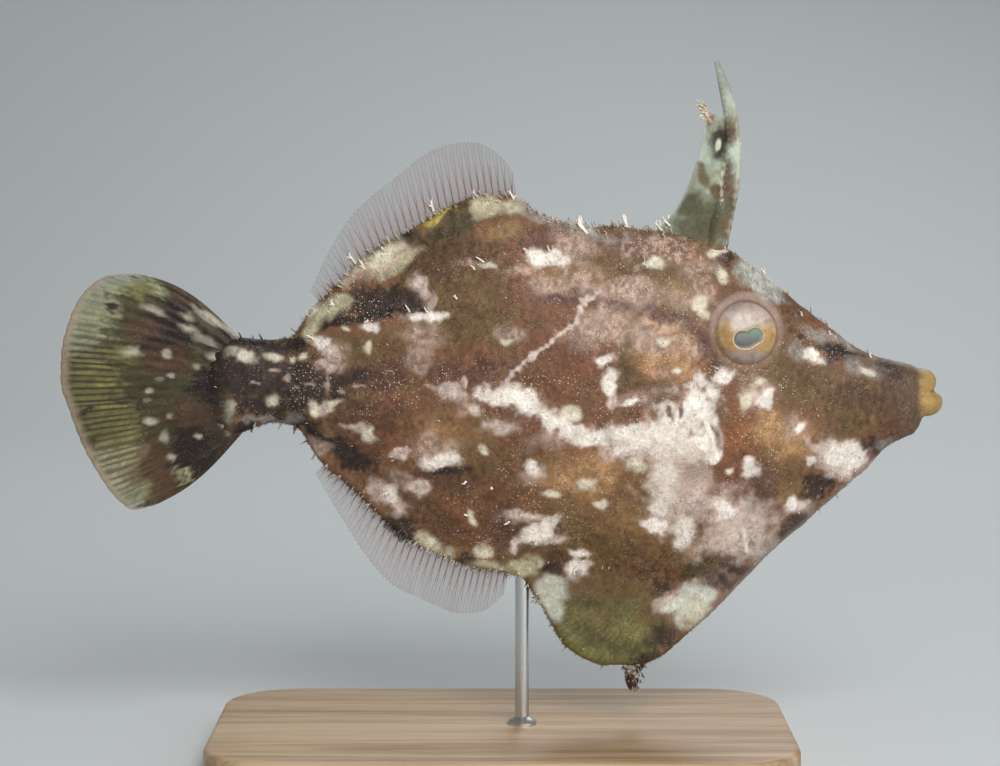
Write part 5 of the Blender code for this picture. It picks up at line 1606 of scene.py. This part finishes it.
@dataclass
class TailFin:
    """The fan of the tail, with branched rays raised in its own surface."""

    shape: FishShape
    root: Pair = (6.1, -4.5)
    root_place: float = -29.6
    bulge: Pair = (1.6, 1.1)
    rays: int = 12
    columns: int = 385
    rows: int = 84
    margin: Route = field(default_factory=lambda: Route([
        (-41.5, 13.7), (-44.4, 13.5), (-47.1, 11.9), (-49.0, 8.6), (-50.0, 4.5), (-50.1, 1.5), (-49.2, -1.8),
        (-47.9, -5.6), (-46.2, -8.9), (-44.0, -12.0), (-42.0, -13.3), (-39.7, -12.8),
    ]))

    def surface(self, a: Array, r: Array) -> Array:
        """Points of the fan's middle sheet, from 0 at the top edge to 1 at the bottom."""
        end = self.margin.at(a)
        upper, lower = np.maximum(1 - 2 * a, 0), np.maximum(2 * a - 1, 0)
        swell = np.sin(np.pi * r) * (self.bulge[0] * upper - self.bulge[1] * lower)
        root_z = self.root[0] + (self.root[1] - self.root[0]) * a
        notch = 1 - 0.004 * smooth_step(0.85, 1.0, r) * (0.5 - 0.5 * np.cos(4 * np.pi * a * self.rays))
        x = self.root_place + (end[:, 0] - self.root_place) * r * notch
        z = root_z + (end[:, 1] - root_z) * r * notch + swell
        return np.stack([x, 0.35 * r * np.sin(2 * np.pi * (a * 1.3 + 0.2)), z], axis=1)

    def rayness(self, a: Array, r: Array) -> Array:
        """1 on a ray and 0 between, with each ray branching twice towards the margin."""
        wave, twice, four = (0.5 - 0.5 * np.cos(k * np.pi * a * self.rays) for k in (2, 4, 8))
        first, second = smooth_step(0.25, 0.5, r), smooth_step(0.6, 0.8, r)
        return (wave * (1 - first) + twice * first) * (1 - 0.5 * second) + 0.5 * four * second * twice

    def build(self, finish: Material) -> Object:
        """Makes the tail."""
        a, r = grid(self.columns, self.rows)
        middle = self.surface(a, r)
        edge = 1 - 0.55 * np.abs(2 * a - 1) ** 3
        rib = self.rayness(a, r)
        half = (0.07 + 1.2 * (1 - r) ** 2.0) * edge + (0.07 + 0.08 * (1 - r)) * rib * smooth_step(0, 0.1, r)
        points = self.shape.placed(both_faces(middle, half))
        mesh = array_mesh("caudal_fin_skin", points, sheet_faces(self.columns, self.rows))
        colour, solid = self.colours(middle, a, r, rib)
        paint_mesh(mesh, np.tile(colour, (2, 1)), np.tile(solid, 2))
        made = named_object("caudal_fin_skin", mesh, finish)
        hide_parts("caudal_fin")
        return made

    def colours(self, points: Array, a: Array, r: Array, rib: Array) -> tuple:
        """The fan's colours and how solid it is.

        Args:
            points: places of the middle sheet.
            a: places across the fan.
            r: places from root to margin.
            rib: how near each point is to a ray.

        Returns:
            Linear colours and alphas.
        """
        ray_wise = np.stack([r * 2.5, np.zeros_like(r), a * 55.0], axis=1)
        streaky = Grain(91).layered(ray_wise, 1.0, 2)
        outward = units(points - np.array([self.root_place, 0.0, 0.8]))
        shifted = points + outward * (0.8 * streaky + 0.12 * (rib - 0.5))[:, None]
        colour = SPOT_PAINT.colours(points + outward * 0.2 * streaky[:, None], TAIL_PAINT.colours(shifted))
        outer = smooth_step(0.55, 0.75, r + 0.04 * streaky)
        line_wave = 0.5 - 0.5 * np.cos(8 * np.pi * a * self.rays + 1.4 * streaky)
        lined = smooth_step(0.35, 0.8, line_wave) * outer * (1 - smooth_step(0.94, 1.0, r))
        lined *= 0.25 + 0.75 * smooth_step(0.22, 0.4, a)
        ink = mix(filled(Tint.DARK.colour, len(a)), linear((104, 78, 54)), smooth_step(0.6, 0.75, a))
        colour = mix(colour, ink, 0.85 * lined * (1 - 0.85 * smooth_step(0.82, 0.94, a)))
        colour = laid(
            colour, ((168, 146, 120), 0.6 * smooth_step(0.93, 0.985, r)),
            ((150, 112, 90), 0.4 * smooth_step(0.98, 0.995, r)),
        )
        corners = smooth_step(0.25, 0.05, a) + smooth_step(0.86, 0.97, a)
        clear = smooth_step(0.66, 0.95, r) * (0.5 + 0.5 * (1 - rib)) * (0.8 + 0.7 * corners)
        bright = smooth_step(0.03, 0.2, colour.mean(axis=1))
        ridge = 1 + 0.12 * (rib - 0.4)
        return colour * ridge[:, None], 1.0 - 0.5 * clear * bright


@dataclass
class PectoralFin:
    """One small clear fan behind the gill slit."""

    side: Side
    shape: FishShape
    root: Pair = (22.6, -7.4)
    length: float = 7.6
    rays: int = 11

    def build(self, finish: Material) -> Object:
        """Makes the fan, with its rays raised in its surface."""
        start, out = self.shape.flank(self.root, self.side)
        trail = np.array([-1.0, 0.0, 0.12])
        trail = trail - out * trail.dot(out) + out * 0.42
        trail /= np.linalg.norm(trail)
        up = np.array([0.1, 0.0, 1.0])
        up = up - trail * trail.dot(up)
        up /= np.linalg.norm(up)
        facing = np.cross(trail, up)
        columns, rows = self.rays * 12 + 1, 26
        a, r = grid(columns, rows, -0.08)
        turn = np.radians(34 - 68 * a)
        wave = 0.5 - 0.5 * np.cos(2 * np.pi * a * self.rays)
        notch = 0.05 * (1 - wave) * smooth_step(0.8, 1, r)
        reach = self.length * (0.82 + 0.18 * np.sin(np.pi * a)) * (1 - notch)
        middle = start + out * 0.3 + np.outer(1.5 - 3.0 * a, up)
        middle = middle + (np.outer(np.cos(turn), trail) + np.outer(np.sin(turn), up)) * (reach * r)[:, None]
        middle = middle + np.outer(0.25 * np.sin(np.pi * r) * r, facing) * self.side.value
        half = 0.03 + (0.09 - 0.05 * np.clip(r, 0, 1)) * wave**3
        points = both_faces(middle, half, facing)
        side = self.side.name.lower()
        mesh = array_mesh(f"pectoral_{side}", self.shape.placed(points), sheet_faces(columns, rows))
        ribs, share = np.tile(wave**3, 2), np.tile(np.clip(r, 0, 1), 2)
        colour = mix(filled(linear((200, 182, 166)), len(points)), linear((214, 192, 172)), ribs)
        solid = 0.06 + 0.1 * ribs + 0.15 * (1 - share) ** 4 + 0.05 * smooth_step(0.95, 1.0, share)
        paint_mesh(mesh, colour, solid)
        made = named_object(f"pectoral_{side}", mesh, finish)
        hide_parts(f"pectoral_fin_{side}")
        return made


@dataclass
class DorsalSpine:
    """The barbed spine over the eyes, with the web behind it and the web's tasselled tip."""

    shape: FishShape
    front: tuple = (
        (25.3, 16.8), (26.1, 20.1), (26.8, 24.2), (26.9, 27.6), (26.5, 31.6), (25.8, 34.2), (24.4, 37.7),
    )
    radii: tuple = (1.5, 1.25, 1.05, 0.95, 0.8, 0.65, 0.3)
    web_rear: tuple = (
        (15.9, 19.4), (17.6, 19.9), (19.2, 21.0), (20.5, 22.9), (21.6, 25.4), (22.4, 28.0), (22.9, 31.6),
    )
    web_front: float = 21.9
    flatness: float = 0.8
    sink: float = 1.1

    def set_back(self, share: float) -> Array:
        """Points of the spine set back from its front edge by a share of its thickness."""
        line = np.array(self.front)
        along = units(np.gradient(line, axis=0))
        reach = 2 * np.array(self.radii) * share
        return np.stack([line[:, 0] - along[:, 1] * reach, line[:, 1] + along[:, 0] * reach], axis=1)

    def paint(self, points: Array) -> Array:
        """The colours of spine and web."""
        broad = Grain(27).layered(points, 2.0, 2)
        ground = laid(
            filled(linear((158, 166, 146)), len(points)),
            ((140, 144, 116), smooth_step(0.1, 0.6, broad)), ((180, 188, 174), smooth_step(0.1, 0.6, -broad)),
        )
        return Paint((Tint.LIME,) * 3, SPINE_LAYERS, 2.0, 23).colours(points, ground)

    def spine(self, finish: Material) -> Object:
        """Makes the spine, beaded in front, with barbs on its front and flanks."""
        axis = Route([tuple(p) for p in self.set_back(0.5)])
        size = Curve(list(zip(np.linspace(0, 1, len(self.radii)), self.radii)))
        steps, sides = 90, 28
        share = np.linspace(0, 1, steps)
        line = axis.at(share)
        line[:, 1] -= self.sink * (1 - smooth_step(0.0, 0.12, share))
        along = units(np.gradient(line, axis=0))
        angle = np.linspace(0, 2 * math.pi, sides, endpoint=False)
        bead = 0.07 * np.maximum(np.cos(2 * np.pi * share * 19), 0)
        rings = []
        for i, radius in enumerate(size.at(share)):
            rough = 1 + bead[i] * np.maximum(np.cos(angle), 0) ** 3 + 0.02 * np.cos(angle * 7)
            forward, aside = radius * np.cos(angle) * rough, radius * self.flatness * np.sin(angle) * rough
            x, z = line[i, 0] + along[i, 1] * forward, line[i, 1] - along[i, 0] * forward
            rings.append(np.stack([x, aside, z], axis=1))
        cloud = np.concatenate(rings)
        mesh = array_mesh("spine_bone", self.shape.placed(cloud), ring_faces(steps, sides))
        paint_mesh(mesh, self.paint(cloud), 1.0 - 0.6 * np.repeat(smooth_step(0.78, 0.95, share), sides))
        made = named_object("spine_bone", mesh, finish)
        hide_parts("dorsal_spine")
        Tufts(self.shape, 5, 3).build("spine_barbs", self.barb_tags(axis, size), finish).parent = made
        return made

    def barb_tags(self, axis: Route, size: Curve) -> Tags:
        """The rows of barbs."""
        draw = np.random.default_rng(17)
        rows = []
        for t in np.linspace(0.16, 0.96, 26):
            x, z = axis.at(t)
            reach = float(size.at(t))
            for sign in (-1, 1):
                aside = sign * reach * self.flatness * 0.8
                rows.append((x - 0.45 * reach, aside, z, -0.4, sign * 0.7, -0.6, draw.uniform(0.3, 0.5)))
            aside, turn = draw.uniform(-0.15, 0.15), draw.uniform(-0.3, 0.3)
            rows.append((x + 0.9 * reach, aside, z, 1.0, turn, 0.35, draw.uniform(0.2, 0.36)))
        table = np.array(rows)
        root, along, length = table[:, :3], table[:, 3:6], table[:, 6]
        tone = self.paint(root)
        pale = mix(tone, Tint.CREAM.colour, np.full(len(root), 0.3))
        return Tags(root, along, length, np.full(len(root), 0.1), root * 0, tone, pale)

    def web(self, finish: Material) -> Object:
        """Makes the web, thick at its fleshy foot and thin at its rear edge, with its tassel."""
        rear = Route(self.web_rear)
        front = Curve([(z, x) for x, z in self.set_back(0.75)])
        foot = float(self.shape.back.at(self.web_front)) - 0.3
        tip = self.web_rear[-1][1]
        columns, rows = 60, 110
        a, r = grid(columns, rows)
        left = rear.at(r)
        right = foot + (tip - foot) * r
        x = left[:, 0] + (front.at(right) - left[:, 0]) * a
        z = left[:, 1] + (right - left[:, 1]) * a
        start = self.web_rear[0]
        along = start[0] + (float(front.at(foot)) - start[0]) * a
        sag = self.shape.back.at(along) - self.sink - (start[1] + (foot - start[1]) * a)
        z = z + sag * (1 - r) ** 3
        middle = np.stack([x, 0.12 * np.sin(9 * a) * r * (1 - a), z], axis=1)
        half = 0.06 + 0.3 * a**1.5 + 0.6 * (1 - r) ** 3 * (0.2 + 0.8 * a)
        points = both_faces(middle, half)
        mesh = array_mesh("spine_web", self.shape.placed(points), sheet_faces(columns, rows))
        thin = (1 - np.tile(a, 2)) * smooth_step(0.2, 0.6, np.tile(r, 2))
        paint_mesh(mesh, self.paint(points), 1.0 - 0.3 * thin)
        made = named_object("spine_web", mesh, finish)
        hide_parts("spine_membrane")
        Tufts(self.shape, 5, 4, 0.5).build("web_tassel", self.tassel_tags(), finish).parent = made
        return made

    def tassel_tags(self) -> Tags:
        """The cream tassel at the web's top corner."""
        draw = np.random.default_rng(37)
        count = 22
        share = draw.uniform(0, 1, (count, 1))
        spot = np.array([23.7, 0.0, 30.6]) + share * np.array([-0.9, 0.0, 1.9])
        root = spot + draw.uniform(-1, 1, (count, 3)) * np.array([0.2, 0.12, 0.2])
        along = np.array([-0.75, 0.0, 1.0]) + draw.normal(0, 0.3, (count, 3))
        length = draw.uniform(0.6, 1.4, count)
        bend = np.array([-0.5, 0.0, -0.1]) * length[:, None] * 0.5 + draw.normal(0, 0.1, (count, 3))
        tip = Tint.CREAM.colour * draw.uniform(0.85, 1.15, (count, 1))
        base = mix(filled(Tint.RUST.colour, count), tip, np.full(count, 0.3))
        main = Tags(root, along, length, draw.uniform(0.15, 0.22, count), bend, base, tip)
        return Tags.joined([main, main.branch(draw, 0.6, 0.35, 0.5), main.branch(draw, 0.8, 0.3, 0.5)])


@dataclass
class PelvicTuft:
    """The rough stub under the dewlap, with its barbs."""

    shape: FishShape
    levels: tuple = (
        (-30.4, 15.5, 1.6, 0.8), (-31.2, 15.3, 1.05, 0.75), (-32.0, 15.0, 0.85, 0.65),
        (-32.8, 14.9, 0.75, 0.55), (-33.5, 14.9, 0.62, 0.45), (-34.2, 14.95, 0.2, 0.2),
    )

    def build(self, finish: Material) -> Object:
        """Makes the stub, with the barbs riding on it."""
        sides = 24
        angle = np.linspace(0, 2 * math.pi, sides, endpoint=False)
        rings = []
        table = np.array(self.levels[::-1])
        middle, long_half, wide_half = (Curve(list(zip(table[:, 0], table[:, k]))) for k in (1, 2, 3))
        for z in np.linspace(table[-1, 0], table[0, 0], 24):
            knobs = 1 + 0.1 * np.cos(angle * 5 + z * 3)
            east = middle.at(z) + long_half.at(z) * np.cos(angle) * knobs
            north = wide_half.at(z) * np.sin(angle) * knobs
            rings.append(np.stack([east, north, np.full(sides, z)], axis=1))
        cloud = np.concatenate(rings)
        mesh = array_mesh("pelvic_stub", self.shape.placed(cloud), ring_faces(len(rings), sides))
        spots = smooth_step(0.1, 0.5, Grain(97).layered(cloud, 0.5, 2))
        paint_mesh(mesh, mix(filled(Tint.DARK.colour, len(cloud)), Tint.CREAM.colour, 0.6 * spots))
        made = named_object("pelvic_stub", mesh, finish)
        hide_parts("pelvic_tuft")
        Tufts(self.shape, 4, 3).build("pelvic_barbs", self.barb_tags(), finish).parent = made
        return made

    def barb_tags(self) -> Tags:
        """The barbs, pale and dark, all over the stub."""
        draw = np.random.default_rng(29)
        count = 110
        heights = -30.9 - 3.2 * draw.uniform(0.1, 1.0, count)
        turn = draw.uniform(0, 2 * math.pi, count)
        reach = Curve([(-34.2, 0.25), (-33.2, 0.6), (-32.0, 1.1), (-30.8, 1.5)]).at(heights)
        root = np.stack([15.2 + reach * np.cos(turn) * 0.9, 0.5 * reach * np.sin(turn), heights], axis=1)
        along = np.stack([np.cos(turn), 0.8 * np.sin(turn), np.full(count, -0.9)], axis=1)
        tip = Tint.CREAM.colour * draw.uniform(0.15, 1.0, (count, 1))
        base = filled(Tint.UMBER.colour, count)
        return Tags(root, along, draw.uniform(0.25, 0.6, count), np.full(count, 0.08), root * 0, base, tip)


@dataclass
class Eye:
    """One eye: a golden iris, greyer above and below, and a bean-shaped pupil."""

    side: Side
    shape: FishShape
    place: Pair = EYE
    radius: float = 3.75
    depth: float = 2.5
    sink: float = 1.4
    iris: float = 3.45
    lobes: tuple = ((-0.72, -1.02, 1.0), (0.8, -0.5, 0.9), (0.0, -1.15, 0.74))

    def build(self, finish: Material) -> Object:
        """Makes the eye."""
        start, out = self.shape.flank(self.place, self.side)
        centre = start - out * self.sink
        ahead = np.array([1.0, 0.0, 0.0]) - out * out[0]
        ahead /= np.linalg.norm(ahead)
        up = np.cross(out, ahead)
        up = up * np.sign(up[2])
        rings, around = 84, 144
        lift, turn = np.meshgrid(
            np.linspace(0.002, math.pi - 0.002, rings), np.linspace(0, 2 * math.pi, around, endpoint=False),
            indexing="ij",
        )
        u = (self.radius * np.sin(lift) * np.cos(turn)).ravel()
        v = (self.radius * np.sin(lift) * np.sin(turn)).ravel()
        w = (self.depth * np.cos(lift) * np.sqrt(1 + np.sin(lift) ** 2)).ravel()
        gap = self.pupil_gap(u, v)
        rim = 0.04 * hill(gap - 0.1, 0.1) - 0.12 * (1 - smooth_step(-0.25, 0.15, gap))
        w = w + np.where(w > 0, rim, 0)
        points = centre + np.outer(u, ahead) + np.outer(v, up) + np.outer(w, out)
        side = self.side.name.lower()
        mesh = array_mesh(f"eyeball_{side}", self.shape.placed(points), ring_faces(rings, around))
        paint_mesh(mesh, self.colours(u, v, gap, points))
        made = named_object(f"eyeball_{side}", mesh, finish)
        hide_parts(f"eye_{side}")
        return made

    def pupil_gap(self, u: Array, v: Array) -> Array:
        """How far points ahead of and above the eye's centre are outside the pupil's edge."""
        gaps = [np.hypot(u - x, v - z) - size for x, z, size in self.lobes]
        sharp = 4.5
        return -np.log(sum(np.exp(-sharp * gap) for gap in gaps)) / sharp

    def colours(self, u: Array, v: Array, gap: Array, points: Array) -> Array:
        """The colours of iris, rim and pupil."""
        out = np.hypot(u, v)
        patchy = 0.5 * Grain(105).layered(points, 1.1, 3)
        amber = smooth_step(1.0, 2.4, np.abs(u)) * (1 - smooth_step(0.4, 2.0, np.abs(v + 0.3 + patchy)))
        beside = 1 - smooth_step(0.8, 2.2, np.abs(v + 0.2))
        colour = laid(
            filled(linear((158, 124, 78)), len(u)),
            ((184, 166, 156), smooth_step(-0.3, 0.7, v + patchy)),
            ((160, 142, 134), smooth_step(1.8, 3.2, v)),
            ((150, 130, 124), smooth_step(-1.7, -3.0, v)),
            ((168, 128, 72), 0.8 * amber),
            ((196, 174, 128), 0.5 * beside * hill(out - self.iris + 0.35, 0.18)),
            ((146, 122, 104), 0.5 * smooth_step(self.iris - 0.2, self.iris, out)),
        )
        radial = np.stack([out * 0.8, np.zeros_like(u), np.arctan2(v, u) * 7.0], axis=1)
        uneven = 0.2 * Grain(101).layered(points, 0.5, 3) + 0.14 * Grain(103).layered(radial, 1.0, 2)
        colour = colour * (1 + uneven)[:, None]
        colour = mix(colour, linear((216, 206, 174)), 0.85 * hill(gap - 0.01, 0.04))
        teal, slate = linear((96, 126, 104)), linear((66, 66, 64))
        green = smooth_step(-1.5, 0.3, v + 0.25 * u + patchy) * (1 - smooth_step(1.2, 2.2, u))
        deep = mix(filled(slate, len(u)), teal, green * smooth_step(-1.8, -0.2, u))
        return np.clip(mix(colour, deep, 1 - smooth_step(-0.1, -0.02, gap)), 0, 1)


@dataclass
class Stand:
    """The wooden base and the steel rod, built finer over the solids."""

    corner: float = 9.0
    edge: float = 0.6

    def board(self, wood: Material) -> Object:
        """Makes the board, with its rounded corners and upper edge."""
        low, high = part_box("stand_base")
        centre = ((low.x + high.x) / 2, (low.y + high.y) / 2)
        half = ((high.x - low.x) / 2, (high.y - low.y) / 2)
        corner, edge = self.corner * MM, self.edge * MM
        levels = [(low.z, edge * 0.4), (low.z + edge * 0.4, 0.0)]
        for turn in np.linspace(0, math.pi / 2, 7):
            levels.append((high.z - edge + edge * math.sin(turn), edge * (1 - math.cos(turn))))
        points = []
        for z, inset in levels:
            for k, (east, north) in enumerate(((1, 1), (-1, 1), (-1, -1), (1, -1))):
                for angle in np.linspace(math.pi / 2 * k, math.pi / 2 * (k + 1), 25):
                    points.append((
                        centre[0] + east * (half[0] - corner) + (corner - inset) * math.cos(angle),
                        centre[1] + north * (half[1] - corner) + (corner - inset) * math.sin(angle), z,
                    ))
        mesh = array_mesh("base_board", np.array(points), ring_faces(len(levels), len(points) // len(levels)))
        mesh.set_sharp_from_angle(angle=math.radians(40))
        made = named_object("base_board", mesh, wood)
        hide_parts("stand_base")
        return made

    def rod(self, steel: Material) -> Object:
        """Makes the rod, with a small turned collar where it enters the board."""
        low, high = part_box("stand_rod")
        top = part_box("stand_base")[1].z
        x, y, radius = (low.x + high.x) / 2, (low.y + high.y) / 2, (high.x - low.x) / 2
        step = 0.1 * MM
        profile = [
            (low.z, radius), (top, radius), (top, radius * 2.1), (top + 3 * step, radius * 2.1),
            (top + 6 * step, radius * 1.7), (top + 8 * step, radius * 1.15), (top + 9 * step, radius),
            (high.z, radius),
        ]
        sides = 48
        turns = [2 * math.pi * k / sides for k in range(sides)]
        points = [(x + r * math.cos(turn), y + r * math.sin(turn), z) for z, r in profile for turn in turns]
        mesh = array_mesh("steel_rod", np.array(points), ring_faces(len(profile), sides))
        mesh.set_sharp_from_angle(angle=math.radians(40))
        made = named_object("steel_rod", mesh, steel)
        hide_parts("stand_rod")
        return made


@dataclass
class Studio:
    """The pale floor, the soft lights and the camera at the photo's angle."""

    axis_height: float

    def build(self) -> None:
        """Makes floor, lights, world and camera."""
        self.floor()
        self.light("key", (0.10, -0.40, 0.30), 0.26, 1.75, (1.0, 0.985, 0.95))
        self.light("fill", (0.38, -0.34, 0.10), 0.40, 0.85, (0.94, 0.97, 1.0))
        self.light("rim", (0.10, 0.40, 0.40), 0.30, 1.0, (1.0, 1.0, 1.0))
        world = bpy.data.worlds.new("soft_room")
        world.use_nodes = True
        background = world.node_tree.nodes["Background"]
        background.inputs["Color"].default_value = (0.88, 0.92, 0.94, 1.0)
        background.inputs["Strength"].default_value = 0.25
        bpy.context.scene.world = world
        bpy.context.scene.view_settings.view_transform = "Standard"
        self.camera()

    def floor(self) -> None:
        """Makes the plain floor, which bends up into a backdrop."""
        turns = np.linspace(0, math.pi / 2, 13)[1:]
        profile = [(-1.2, 0.0), (0.35, 0.0)]
        profile += [(0.35 + 0.3 * math.sin(turn), 0.3 * (1 - math.cos(turn))) for turn in turns]
        profile.append((0.65, 1.6))
        points = [(x, y, z) for y, z in profile for x in (-1.6, 1.6)]
        faces = [(2 * k, 2 * k + 1, 2 * k + 3, 2 * k + 2) for k in range(len(profile) - 1)]
        mesh = bpy.data.meshes.new("floor")
        mesh.from_pydata(points, [], faces)
        mesh.shade_smooth()
        made, tree, shader = new_material("pale_floor")
        set_shader(tree, shader, {"Base Color": (0.60, 0.63, 0.64, 1.0), "Roughness": 0.75})
        named_object("floor", mesh, made)

    def light(self, name: str, place: tuple, size: float, power: float, colour: tuple) -> None:
        """Adds a soft light that faces the fish.

        Args:
            name: its name.
            place: where it stands, in metres.
            size: its width.
            power: its watts.
            colour: its colour.
        """
        lamp = bpy.data.lights.new(name, "AREA")
        lamp.shape = "DISK"
        lamp.size = size
        lamp.energy = power
        lamp.color = colour
        made = named_object(name, lamp)
        made.location = place
        aim = Vector((0.0, 0.0, self.axis_height * MM)) - made.location
        made.rotation_euler = aim.to_track_quat("-Z", "Y").to_euler()

    def camera(self) -> None:
        """Places the camera so that a pixel on the fish's middle plane is the photo's."""
        reach = CAMERA_REACH * MM
        aim = Vector((
            (PHOTO_MIDDLE[0] - PHOTO_AXIS[0]) * PIXEL_MM, 0.0,
            (PHOTO_AXIS[1] - PHOTO_MIDDLE[1]) * PIXEL_MM + self.axis_height,
        )) * MM
        data = bpy.data.cameras.new("camera")
        data.lens = LENS
        data.sensor_width = SENSOR
        data.clip_start = 0.01
        made = named_object("camera", data)
        made.location = aim + Vector((0.0, -reach * math.cos(CAMERA_LIFT), reach * math.sin(CAMERA_LIFT)))
        made.rotation_euler = (aim - made.location).to_track_quat("-Z", "Y").to_euler()
        bpy.context.scene.camera = made


def mounted(pieces: Sequence[Object]) -> None:
    """Fixes pieces to the model's one body and logs the faces of each and of its children."""
    for piece in pieces:
        if piece.parent is None:
            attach(piece, "root")
        for part in [piece, *piece.children]:
            LOG.info("%s has %d faces", part.name, len(part.data.polygons))


def soft_fins(shape: FishShape) -> list[SoftFin]:
    """The clear fins of the back and the belly, with the solids' sizes."""
    back = SoftFin(
        "dorsal_membrane", "dorsal_fin", shape, shape.back, (-20.6, 1.6),
        Curve([(-20.6, 1.6), (-17.5, 3.6), (-11.6, 6.0), (-6.5, 6.9), (-1.4, 5.9), (0.6, 4.4), (1.6, 2.6)]),
        Curve([(-20.6, 44.0), (-11.0, 16.0), (1.6, 6.0)]), 1,
    )
    belly = SoftFin(
        "anal_membrane", "anal_fin", shape, shape.belly, (-20.2, 0.7),
        Curve([(-20.2, 1.5), (-16.5, 3.4), (-10.5, 5.6), (-5.0, 6.0), (-1.2, 4.9), (0.7, 2.4)]),
        Curve([(-20.2, 44.0), (-10.0, 20.0), (0.7, 10.0)]), -1,
    )
    return [back, belly]


def write_sizes() -> None:
    """Brings the view layer up to date."""
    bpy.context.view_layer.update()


def main() -> None:
    """Builds every part of the looks around the solids."""
    logging.basicConfig(level=logging.INFO, format="%(message)s")
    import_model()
    shape = FishShape(AXIS_HEIGHT)

    skin_finish = FleshFinish("fish_skin", dotted=True, flecks=0.55).build()
    cirrus_finish = FleshFinish("fringe_skin", density=0.1, flecks=0.0, depth=0.00003).build()
    clear_finish = FleshFinish("clear_fin", density=0.2, flecks=0.0, depth=0.00003, see_through=True).build()
    tail_finish = FleshFinish("tail_skin", density=0.15, flecks=0.12, depth=0.00005, see_through=True).build()
    spine_finish = FleshFinish(
        "spine_horn", density=0.35, flecks=0.12, depth=0.00005, see_through=True,
    ).build()
    eye_finish = GlossFinish("eye_gloss").build()

    skin = Skin(shape)
    made = skin.build(skin_finish)
    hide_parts("head", "trunk", "tail_stalk", "dewlap")
    mounted([made])
    mounted(Coat(skin).build(cirrus_finish))
    for fin in soft_fins(shape):
        mounted(fin.build(clear_finish))
    mounted([TailFin(shape).build(tail_finish)])
    mounted([PectoralFin(side, shape).build(clear_finish) for side in Side])
    spine = DorsalSpine(shape)
    mounted([spine.spine(spine_finish)])
    mounted([spine.web(spine_finish)])
    mounted([PelvicTuft(shape).build(cirrus_finish)])
    mounted([Eye(side, shape).build(eye_finish) for side in Side])
    stand = Stand()
    mounted([stand.board(WoodFinish().build())])
    mounted([stand.rod(SteelFinish().build())])
    Studio(shape.axis_height).build()
    write_sizes()


if __name__ == "__main__":
    main()
